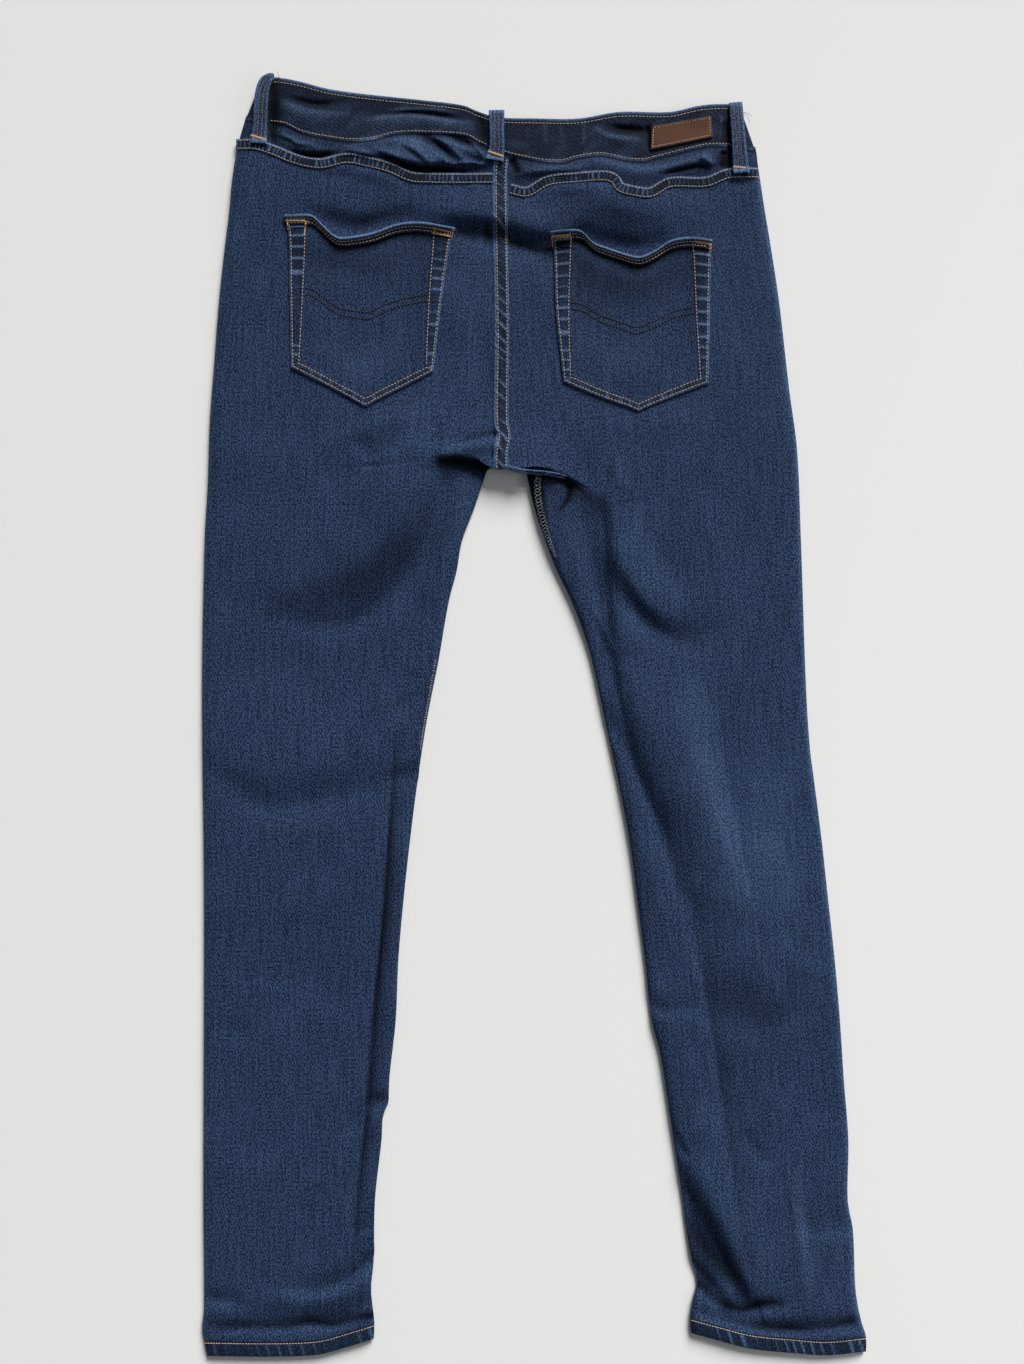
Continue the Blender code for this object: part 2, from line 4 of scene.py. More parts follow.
import bpy
import numpy as np
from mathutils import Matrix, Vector


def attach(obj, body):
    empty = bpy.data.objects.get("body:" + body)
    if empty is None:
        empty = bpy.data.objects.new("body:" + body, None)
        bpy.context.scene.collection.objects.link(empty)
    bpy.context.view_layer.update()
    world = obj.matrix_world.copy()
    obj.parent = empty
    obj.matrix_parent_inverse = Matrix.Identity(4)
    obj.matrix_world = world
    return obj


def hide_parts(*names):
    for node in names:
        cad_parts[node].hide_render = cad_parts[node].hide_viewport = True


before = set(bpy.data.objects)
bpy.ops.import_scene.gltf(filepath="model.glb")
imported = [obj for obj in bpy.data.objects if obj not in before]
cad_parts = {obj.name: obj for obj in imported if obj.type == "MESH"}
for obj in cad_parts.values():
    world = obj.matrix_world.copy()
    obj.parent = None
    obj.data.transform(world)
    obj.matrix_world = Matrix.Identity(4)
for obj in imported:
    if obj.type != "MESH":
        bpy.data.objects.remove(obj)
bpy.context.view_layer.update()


# === Front panels =================================================================================
# The fronts of both legs, cut in stretch denim and hidden in this pose. They lie flat on the floor
# and curl up at the side seams and inseams, where they are sewn to the backs.

MM = 0.001
LENGTH = 990.0  # top of the back waistband to the lower hem
MIDDLE = 0.5  # across value that lies on x = 0
EYE_UP = 850.0  # height of the eye above the floor, in millimetres
EYE_ACROSS = -16.5
EYE_DOWN = 469.0
DENIM_THICK = 1.1
SEAM_UP = 2.3  # height of the side seams and inseams above the floor
SEAM_GAP = 0.15  # the cloth's edges stop this far from a seam's height or line
ROLL = 7.0  # how far in from a side the back reaches its full height
CURL = 5.0  # how far in from a side the front leaves the floor
CENTRE = -22.0  # across value of the centre seams
CROTCH = 304.0
LEG_END = 940.0  # from here down, a leg's rows bend to follow its hem
SEED = 7

Edge = namedtuple("Edge", "down across")
Point = namedtuple("Point", "across down")
# A line over a panel. Leg is 0 on the seat and 1 on the leg, and past is how far it is carried past the lip
Row = namedtuple("Row", "line leg past", defaults=(None,))

LEFT_SIDE = (
    Edge(3, -209), Edge(17, -216), Edge(36, -222), Edge(58, -228), Edge(82, -232), Edge(105, -234),
    Edge(129, -237), Edge(175, -242), Edge(221, -245.5), Edge(267, -249), Edge(313, -250.5),
    Edge(360, -253), Edge(475, -255), Edge(637, -253.5), Edge(868, -254), Edge(950, -253.5),
    Edge(966, -255), Edge(976, -253.5), Edge(990, -251),
)
RIGHT_SIDE = (
    Edge(26, 159), Edge(33, 163), Edge(58, 171), Edge(72, 173), Edge(105, 178), Edge(129, 182),
    Edge(175, 189), Edge(244, 197), Edge(290, 203), Edge(360, 206), Edge(475, 210), Edge(521, 213),
    Edge(544, 216), Edge(591, 222), Edge(637, 227), Edge(683, 232), Edge(729, 236), Edge(775, 239),
    Edge(822, 242.5), Edge(868, 242), Edge(891, 246), Edge(937, 248), Edge(960, 252), Edge(973, 256),
    Edge(990, 256),
)
LEFT_INSEAM = (
    Edge(300, -34), Edge(321, -41), Edge(336, -46), Edge(360, -55), Edge(383, -59), Edge(406, -65),
    Edge(452, -73), Edge(498, -82), Edge(544, -89), Edge(591, -95), Edge(637, -100), Edge(683, -104),
    Edge(729, -106), Edge(775, -111), Edge(794, -112), Edge(800, -115.5), Edge(822, -117),
    Edge(868, -122), Edge(914, -123), Edge(937, -125), Edge(963, -122.5), Edge(990, -124),
)
RIGHT_INSEAM = (
    Edge(300, -7), Edge(310, -5), Edge(336, 1), Edge(360, 9), Edge(383, 18), Edge(406, 29),
    Edge(429, 38), Edge(452, 45), Edge(498, 55), Edge(544, 65), Edge(591, 74), Edge(637, 80),
    Edge(683, 86), Edge(729, 91), Edge(752, 97), Edge(775, 101), Edge(822, 108), Edge(868, 115),
    Edge(891, 118), Edge(914, 122), Edge(930, 126.5), Edge(945, 123), Edge(960, 121), Edge(990, 123),
)
LEFT_HEM = (Point(-255, 976.5), Point(-202, 977), Point(-166, 975.5), Point(-143, 969.5), Point(-122, 963))
RIGHT_HEM = (
    Point(120, 958.5), Point(144, 965), Point(168, 971), Point(203, 974.5), Point(226, 976), Point(257, 973),
)
HEM_DEPTH = 11.5


def place(across, down, up):
    """Points in metres. Across and down are as seen from the eye, at the floor's scale, so a point
    that lies higher is drawn in towards the line under the eye."""
    across, down, up = np.broadcast_arrays(across, down, up)
    near = 1 - up / EYE_UP
    x = EYE_ACROSS + (across - EYE_ACROSS) * near - MIDDLE
    y = EYE_DOWN + (down - EYE_DOWN) * near
    return np.stack([x * MM, (LENGTH / 2 - y) * MM, up * MM], axis=-1)


def smooth_at(table, key):
    """Values of a two-column table at key, along a smooth curve through its rows."""
    keys, values = np.array(table, float).T
    key = np.clip(np.asarray(key, float), keys[0], keys[-1])
    last = len(keys) - 1
    before, after = np.maximum(np.arange(last + 1) - 1, 0), np.minimum(np.arange(last + 1) + 1, last)
    slopes = (values[after] - values[before]) / (keys[after] - keys[before])
    i = np.clip(np.searchsorted(keys, key, side="right") - 1, 0, last - 1)
    span = keys[i + 1] - keys[i]
    t = (key - keys[i]) / span
    return (values[i] * (1 + 2 * t) * (1 - t) ** 2 + slopes[i] * span * t * (1 - t) ** 2
            + values[i + 1] * t * t * (3 - 2 * t) + slopes[i + 1] * span * t * t * (t - 1))


def ease(t):
    """0 up to t = 0, 1 from t = 1 on, and a smooth way between."""
    t = np.clip(t, 0.0, 1.0)
    return t * t * (3 - 2 * t)


def bell(values, middle, width):
    """1 at the middle value, dying away smoothly to either side of it."""
    return np.exp(-((values - middle) / width) ** 2)


def rounding(gap, reach):
    """Quarter ellipse: 0 on an edge, 1 at reach and further in."""
    return np.sqrt(1 - (1 - np.clip(gap, 0, reach) / reach) ** 2)


def inside(outer):
    """A face's points moved in by the thickness of the denim, but level with it at the side seam."""
    normal = np.cross(np.gradient(outer, axis=0), np.gradient(outer, axis=1))
    normal /= np.maximum(np.linalg.norm(normal, axis=-1, keepdims=True), 1e-12)
    inner = outer - DENIM_THICK * MM * normal * np.sign(normal[..., 2].mean())
    inner[:, 0, 2] = outer[:, 0, 2]
    return inner


SHARP_ANGLE = math.radians(62)


def cloth(name, outer, inner, grain, ring=False, **masks):
    """Closed cloth between two grids of points. Grain is each point's place on the cut cloth, in metres,
    and each mask a value from 0 to 1 at each point, which the materials read."""
    rows, cols = outer.shape[:2]
    near = np.arange(rows * cols).reshape(rows, cols)
    if ring:
        near = np.concatenate([near, near[:, :1]], axis=1)
    far = near + rows * cols
    quads = [
        (near[:-1, :-1], near[:-1, 1:], near[1:, 1:], near[1:, :-1]),
        (far[:-1, 1:], far[:-1, :-1], far[1:, :-1], far[1:, 1:]),
        (near[0, 1:], near[0, :-1], far[0, :-1], far[0, 1:]),
        (near[-1, :-1], near[-1, 1:], far[-1, 1:], far[-1, :-1]),
    ]
    if not ring:
        quads.append((near[:-1, 0], near[1:, 0], far[1:, 0], far[:-1, 0]))
        quads.append((near[1:, -1], near[:-1, -1], far[:-1, -1], far[1:, -1]))
    faces = np.concatenate([np.stack(quad, axis=-1).reshape(-1, 4) for quad in quads])
    normal = np.cross(outer[1:, 1:] - outer[:-1, :-1], outer[1:, :-1] - outer[:-1, 1:])
    if (normal * (outer - inner)[:-1, :-1]).sum() < 0:
        faces = faces[:, ::-1]
    points = np.concatenate([outer.reshape(-1, 3), inner.reshape(-1, 3)])
    mesh = bpy.data.meshes.new(name)
    mesh.from_pydata(points.tolist(), [], faces.tolist())
    corner = np.empty(len(mesh.loops), np.int32)
    mesh.loops.foreach_get("vertex_index", corner)
    grain = np.concatenate([grain.reshape(-1, 2)] * 2)
    mesh.uv_layers.new(name="grain").data.foreach_set("uv", grain[corner].ravel())
    for mask, values in masks.items():
        values = np.broadcast_to(values, (rows, cols)).ravel()
        both = np.concatenate([values, values]).astype(np.float32)
        mesh.attributes.new(mask, "FLOAT", "POINT").data.foreach_set("value", both)
    mesh.polygons.foreach_set("use_smooth", np.ones(len(faces), bool))
    mesh.set_sharp_from_angle(angle=SHARP_ANGLE)
    piece = bpy.data.objects.new(name, mesh)
    bpy.context.scene.collection.objects.link(piece)
    return piece


def spread(first, last, step):
    """Shares from 0 up to but not 1, about one for each step of the way."""
    return np.arange(0, 1, 1 / max(1, round(abs(last - first) / step)))


PANEL_WIDE = 250.0  # no row of a panel is wider than this


def column_gaps(width, edge_steps, step):
    """Distances of a panel's columns from its side edge, close together near both edges."""
    first, last = edge_steps[-1], width - edge_steps[-1]
    count = max(1, round(PANEL_WIDE / step))
    middle = np.linspace(first, last, count + 1)[1:-1]
    return np.concatenate([edge_steps, middle, width - np.array(edge_steps)[::-1]])


FRONT_EDGE_STEPS = (0.0, 0.4, 1.1, 2.2, 3.5, 5.0)
FRONT_STEP = 8.0
FRONT_ROW_STEP = 7.95
FRONT_OVER_CROTCH = 2.0  # the fronts' rows stop this far over the crotch
FRONT_UNDER_CROTCH = 3.0  # and go on this far under it, on the legs
HEM_SHARES = (0.0, 0.35, 0.7, 1.0)  # rows of the fronts between the leg's end and the hem
FRONT_BAND_TOP = (
    Point(-209, 3), Point(-147, 47), Point(-69, 62), Point(-22, 65), Point(23, 63), Point(99, 54),
    Point(159, 26),
)
BAND_DEPTH = 37.0
FRONT_BAND_BOTTOM = (
    Point(-222, 36), Point(-147, 84), Point(-69, 99), Point(-22, 102), Point(23, 100), Point(99, 91),
    Point(171, 60),
)
BUTTON_ACROSS = -32.0
BAND_OVER_BUTTON = 64.8  # down value of the band's top edge there
BUTTON_LIFT = 2.9
BUTTON_SPREAD = 30.0


def button_lift(across, down):
    """How far the front rises over the button."""
    gap = np.hypot(across - BUTTON_ACROSS, down - BAND_OVER_BUTTON - BAND_DEPTH / 2)
    return BUTTON_LIFT * bell(gap, 0, BUTTON_SPREAD)


def level(down):
    """A straight line over a panel."""
    return lambda x: down + 0 * x


def line_of(table, shift=0.0):
    """The line that a table gives, moved down by a shift."""
    return lambda x: smooth_at(table, x) + shift


def rows_between(first, last, step, leg, with_last=False):
    """Rows of a panel from one line towards another, and the last line itself if it is asked for."""
    shares = [*spread(first(CENTRE), last(CENTRE), step), *([1.0] if with_last else [])]
    return [Row(lambda x, t=t: first(x) * (1 - t) + last(x) * t, leg) for t in shares]


def row_ends(side, inseam, line, leg):
    """Across values of a row's ends. Above the crotch it ends at the centre seam."""
    start = float(smooth_at(side, line(side[0].across)))
    start = float(smooth_at(side, line(start)))
    toward = 1 if start < CENTRE else -1
    end = CENTRE - toward * SEAM_GAP
    if leg > 0:
        leg_end = float(smooth_at(inseam, line(inseam[0].across)))
        leg_end = float(smooth_at(inseam, line(leg_end)))
        end = end * (1 - leg) + leg_end * leg
    return start, end, toward


def panel_grid(rows, side, inseam, edge_steps, step):
    """Across and down of a panel's points, and how far each lies from the row's two ends."""
    across, down, gap, far = [], [], [], []
    for row in rows:
        start, end, toward = row_ends(side, inseam, row.line, row.leg)
        gaps = column_gaps(abs(end - start), edge_steps, step)
        across.append(start + toward * gaps)
        down.append(row.line(across[-1]))
        gap.append(gaps)
        far.append(abs(end - start) - gaps)
    return (np.array(values) for values in (across, down, gap, far))


GRAIN_LEVEL = 300.0  # at this height, places on the cut cloth and on the laid one are the same


def grain_of(across, down, side):
    """Place on the cut cloth: the warp follows the leg's side seam."""
    lean = smooth_at(side, down) - smooth_at(side, GRAIN_LEVEL)
    return np.stack([(across - lean) * MM, down * MM], axis=-1)


def front_panel(name, side, inseam, hem):
    rows = rows_between(line_of(FRONT_BAND_BOTTOM), level(CROTCH - FRONT_OVER_CROTCH), FRONT_ROW_STEP, 0)
    rows += rows_between(level(CROTCH + FRONT_UNDER_CROTCH), level(LEG_END), FRONT_ROW_STEP, 1)
    for share in HEM_SHARES:
        rows.append(Row(lambda x, t=share: LEG_END * (1 - t) + smooth_at(hem, x) * t, 1))
    across, down, gap, far = panel_grid(rows, side, inseam, FRONT_EDGE_STEPS, FRONT_STEP)
    far = np.where([[row.leg] for row in rows], far, CURL)
    flat = rounding(gap, CURL) * rounding(far, CURL)
    lift = button_lift(across, down)
    seam = SEAM_UP - SEAM_GAP
    outer = place(across, down, seam * (1 - flat) + lift)
    curl_in = DENIM_THICK * (np.clip(1 - gap / CURL, 0, 1) - np.clip(1 - far / CURL, 0, 1))
    top = DENIM_THICK + (seam - DENIM_THICK) * (1 - flat) + lift
    toward = 1 if side is LEFT_SIDE else -1
    inner = place(across + toward * curl_in, down, top)
    seam_wear = 0.5 * bell(gap, 1.0, 1.5) + 0.4 * bell(far, 1.0, 1.5) * (far < CURL)
    return cloth(name, outer, inner, grain_of(across, down, side), wear=seam_wear, seam=0.0)


# Stretch denim: dark indigo warp over a paler weft, in a right-hand twill with uneven yarns. Worn places
# and highlights painted on lit ridges show more of the pale core of the yarns; painted shade darkens hollows.

def feed(tree, node, feeds):
    """Gives each named input of a node a value, or the output that feeds it."""
    for socket, value in feeds.items():
        if isinstance(value, bpy.types.NodeSocket):
            tree.links.new(value, node.inputs[socket])
        else:
            node.inputs[socket].default_value = value


def add(tree, kind, feeds=None, **settings):
    """A new node with its settings and inputs."""
    node = tree.nodes.new(kind)
    for setting, value in settings.items():
        setattr(node, setting, value)
    feed(tree, node, feeds or {})
    return node


def calc(tree, operation, first, second=0.0, third=0.0):
    node = add(tree, "ShaderNodeMath", {0: first, 1: second, 2: third}, operation=operation)
    return node.outputs[0]


def mixed(tree, share, first, second, how="MIX"):
    """Two colours mixed. Each is three values or an output."""
    first, second = (c if isinstance(c, bpy.types.NodeSocket) else (*c, 1) for c in (first, second))
    node = add(tree, "ShaderNodeMix", {0: share, 6: first, 7: second}, data_type="RGBA", blend_type=how)
    return node.outputs[2]


def new_material(name):
    mat = bpy.data.materials.new(name)
    mat.use_nodes = True
    return mat, mat.node_tree, mat.node_tree.nodes["Principled BSDF"]


def new_group(name, inputs, outputs):
    """An empty shader node group. Each socket is given as its name and kind."""
    group = bpy.data.node_groups.new(name, "ShaderNodeTree")
    for socket, kind in inputs:
        group.interface.new_socket(socket, in_out="INPUT", socket_type=f"NodeSocket{kind}")
    for socket, kind in outputs:
        group.interface.new_socket(socket, in_out="OUTPUT", socket_type=f"NodeSocket{kind}")
    return group, group.nodes.new("NodeGroupInput").outputs, group.nodes.new("NodeGroupOutput").inputs


def noise(tree, vector, scale, detail=2.0, roughness=0.55):
    node = add(tree, "ShaderNodeTexNoise", {"Vector": vector, "Scale": scale, "Detail": detail,
                                            "Roughness": roughness})
    return node.outputs["Fac"]


Uneven = namedtuple("Uneven", "name stretch scale detail roughness weight")

# Unevenness of the yarns: how each noise is stretched along the grain, and its weight in the weave
YARNS = (
    Uneven("streak", (1.0, 0.045, 1.0), 620.0, 3.0, 0.6, 1.5),
    Uneven("cross", (0.10, 1.0, 1.0), 520.0, 2.0, 0.5, 0.3),
    Uneven("speckle", (1.0, 0.72, 1.0), 900.0, 1.0, 0.5, 4.2),
    Uneven("mottle", (1.0, 1.0, 1.0), 330.0, 2.0, 0.5, 0.5),
)
RIB_WAY = (0.91, -0.41)  # across the twill's ribs, on the grain
RIB_SWAY = 0.0016  # the ribs wander this far, in metres
RIB_WEIGHT = 0.16
WEFT_SHARE = 0.42  # of the face


def make_twill():
    """Weave of the denim: how much of the weft shows, and its relief."""
    group, given, out = new_group(
        "twill_weave", [("Grain", "Vector"), ("Pitch", "Float")], [("Weft", "Float"), ("Relief", "Float")])
    grain = add(group, "ShaderNodeSeparateXYZ", {0: given["Grain"]}).outputs
    wander = calc(group, "SUBTRACT", noise(group, given["Grain"], 160.0), 0.5)
    slant = calc(group, "MULTIPLY", grain["Y"], RIB_WAY[1])
    slant = calc(group, "MULTIPLY_ADD", grain["X"], RIB_WAY[0], slant)
    slant = calc(group, "MULTIPLY_ADD", wander, RIB_SWAY, slant)
    turns = calc(group, "DIVIDE", slant, given["Pitch"])
    rib = calc(group, "SINE", calc(group, "MULTIPLY", turns, math.tau))
    total = calc(group, "MULTIPLY", rib, RIB_WEIGHT)
    uneven = {}
    for yarn in YARNS:
        long = add(group, "ShaderNodeVectorMath", {0: given["Grain"], 1: yarn.stretch}, operation="MULTIPLY")
        uneven[yarn.name] = noise(group, long.outputs[0], yarn.scale, yarn.detail, yarn.roughness)
        part = calc(group, "SUBTRACT", uneven[yarn.name], 0.5)
        total = calc(group, "MULTIPLY_ADD", part, yarn.weight, total)
    weft = calc(group, "ADD", total, WEFT_SHARE)
    relief = calc(group, "MULTIPLY_ADD", uneven["speckle"], 1.6, calc(group, "MULTIPLY", rib, 0.4))
    group.links.new(add(group, "ShaderNodeClamp", {0: weft}).outputs[0], out["Weft"])
    group.links.new(relief, out["Relief"])
    return group


def make_fading_and_highlight():
    """Where dye has worn off along ridges and seam edges, and where highlights are painted on lit ridges,
    broken up by the weave.
    """
    group, given, out = new_group(
        "indigo_fading", [("Wear", "Float"), ("Grain", "Vector"), ("Weft", "Float")], [("Mask", "Float")])
    patchy = noise(group, given["Grain"], 210.0, 3.0, 0.6)
    grown = calc(group, "MULTIPLY", given["Wear"], calc(group, "ADD", patchy, 0.55))
    broken = calc(group, "MULTIPLY", grown, calc(group, "MULTIPLY_ADD", given["Weft"], 1.1, 0.45))
    group.links.new(add(group, "ShaderNodeClamp", {0: broken}).outputs[0], out["Mask"])
    return group


TWILL = make_twill()
FADING_AND_HIGHLIGHT = make_fading_and_highlight()
TWILL_PITCH = 0.0021


def denim(name, warp, weft, worn, painted_shade_dark):
    """Denim of given yarn colours. The last argument is how far the mask named seam darkens it; that mask
    holds painted shade, and a few darker places of the cloth itself.
    """
    mat, tree, shader = new_material(name)
    grain = add(tree, "ShaderNodeUVMap", uv_map="grain").outputs[0]
    wear = add(tree, "ShaderNodeAttribute", attribute_name="wear").outputs["Fac"]
    seam = add(tree, "ShaderNodeAttribute", attribute_name="seam").outputs["Fac"]
    weave = add(tree, "ShaderNodeGroup", node_tree=TWILL)
    feed(tree, weave, {"Grain": grain, "Pitch": TWILL_PITCH})
    fade_and_highlight = add(tree, "ShaderNodeGroup", node_tree=FADING_AND_HIGHLIGHT)
    feed(tree, fade_and_highlight, {"Grain": grain, "Wear": wear, "Weft": weave.outputs["Weft"]})
    yarns = mixed(tree, weave.outputs["Weft"], warp, weft)
    faded_and_lit = mixed(tree, fade_and_highlight.outputs["Mask"], yarns, worn)
    tone = calc(tree, "MULTIPLY_ADD", noise(tree, grain, 14.0, 3.0, 0.5), 0.10, 0.95)
    # the mask named seam darkens the denim, mostly with painted shade
    tone = calc(tree, "MULTIPLY", tone, calc(tree, "MULTIPLY_ADD", seam, -painted_shade_dark, 1.0))
    grey = add(tree, "ShaderNodeCombineColor", {0: tone, 1: tone, 2: tone})
    relief = {"Strength": 0.55, "Distance": 0.00022, "Height": weave.outputs["Relief"]}
    feed(tree, shader, {
        "Base Color": mixed(tree, 1.0, faded_and_lit, grey.outputs[0], how="MULTIPLY"),
        "Roughness": calc(tree, "MULTIPLY_ADD", weave.outputs["Weft"], 0.12, 0.78),
        "Normal": add(tree, "ShaderNodeBump", relief).outputs[0],
        "Specular IOR Level": 0.08, "Sheen Weight": 0.03,
        "Sheen Roughness": 0.5, "Sheen Tint": (0.45, 0.60, 1.0, 1.0),
    })
    return mat


WARP = (0.0052, 0.0110, 0.0300)
WEFT = (0.0375, 0.0680, 0.1480)
WORN = (0.085, 0.150, 0.290)
denim_body = denim("denim_body", WARP, WEFT, WORN, 0.92)


def finish_cloth(piece, material, node_slot, *nodes):
    """Gives a piece its material, and puts it in the place of its CAD nodes. Its node slot is not used."""
    piece.data.materials.append(material)
    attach(piece, "root")
    if nodes:
        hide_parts(*nodes)


front_left = front_panel("front_left_cloth", LEFT_SIDE, LEFT_INSEAM, LEFT_HEM)
front_right = front_panel("front_right_cloth", RIGHT_SIDE, RIGHT_INSEAM, RIGHT_HEM)
for piece, node, width in ((front_left, "front_left", 0.235), (front_right, "front_right", 0.280)):
    finish_cloth(piece, denim_body, "denim", node)


# === Back panels ==================================================================================
# The backs of both legs with their halves of the seat, from the yoke seam to the hems. They lie on
# the fronts, and the seat hangs over the tops of the legs in a lip at the crotch.

Rise = namedtuple("Rise", "down up")
Fold = namedtuple("Fold", "name line up left right sharp", defaults=("",))

BODY_RISE = (
    Rise(0, 7.0), Rise(40, 7.6), Rise(62, 9.6), Rise(90, 9.8), Rise(120, 8.4), Rise(200, 7.2),
    Rise(290, 7.4), Rise(330, 6.8), Rise(450, 6.4), Rise(700, 6.2), Rise(900, 6.4), Rise(960, 6.6),
    Rise(990, 5.6),
)
SEAT_LIP = (
    Point(-253, 306), Point(-130, 300), Point(-70, 294.5), Point(-56, 294), Point(-44, 297),
    Point(-34, 302.5), Point(-20, 305), Point(5, 303), Point(27, 311), Point(45, 320.5),
    Point(60, 327), Point(90, 322), Point(204, 312),
)
LIP_UP = 4.6  # the seat rises this much towards its lip
LIP_REACH = 30.0
LIP_ENDS = (-78.0, -66.0, 10.0, 48.0)  # across values between which the lip grows and dies away
YOKE_SEAM = (
    Point(-229, 55), Point(-214, 55.4), Point(-199, 60), Point(-188, 64.7), Point(-175, 68.5),
    Point(-163, 69.7), Point(-144, 65.8), Point(-128, 68.5), Point(-111, 72.8), Point(-95, 79.7),
    Point(-83, 80.9), Point(-55, 81.2), Point(-32, 81), Point(-18, 89.3), Point(-5, 91.6), Point(11, 83.2),
    Point(32, 80.7), Point(55, 79.3), Point(62.5, 81.8), Point(66.5, 87.6), Point(76, 90.6), Point(90, 92),
    Point(105, 84.5), Point(133, 83.9), Point(151, 77.4), Point(173, 77),
)

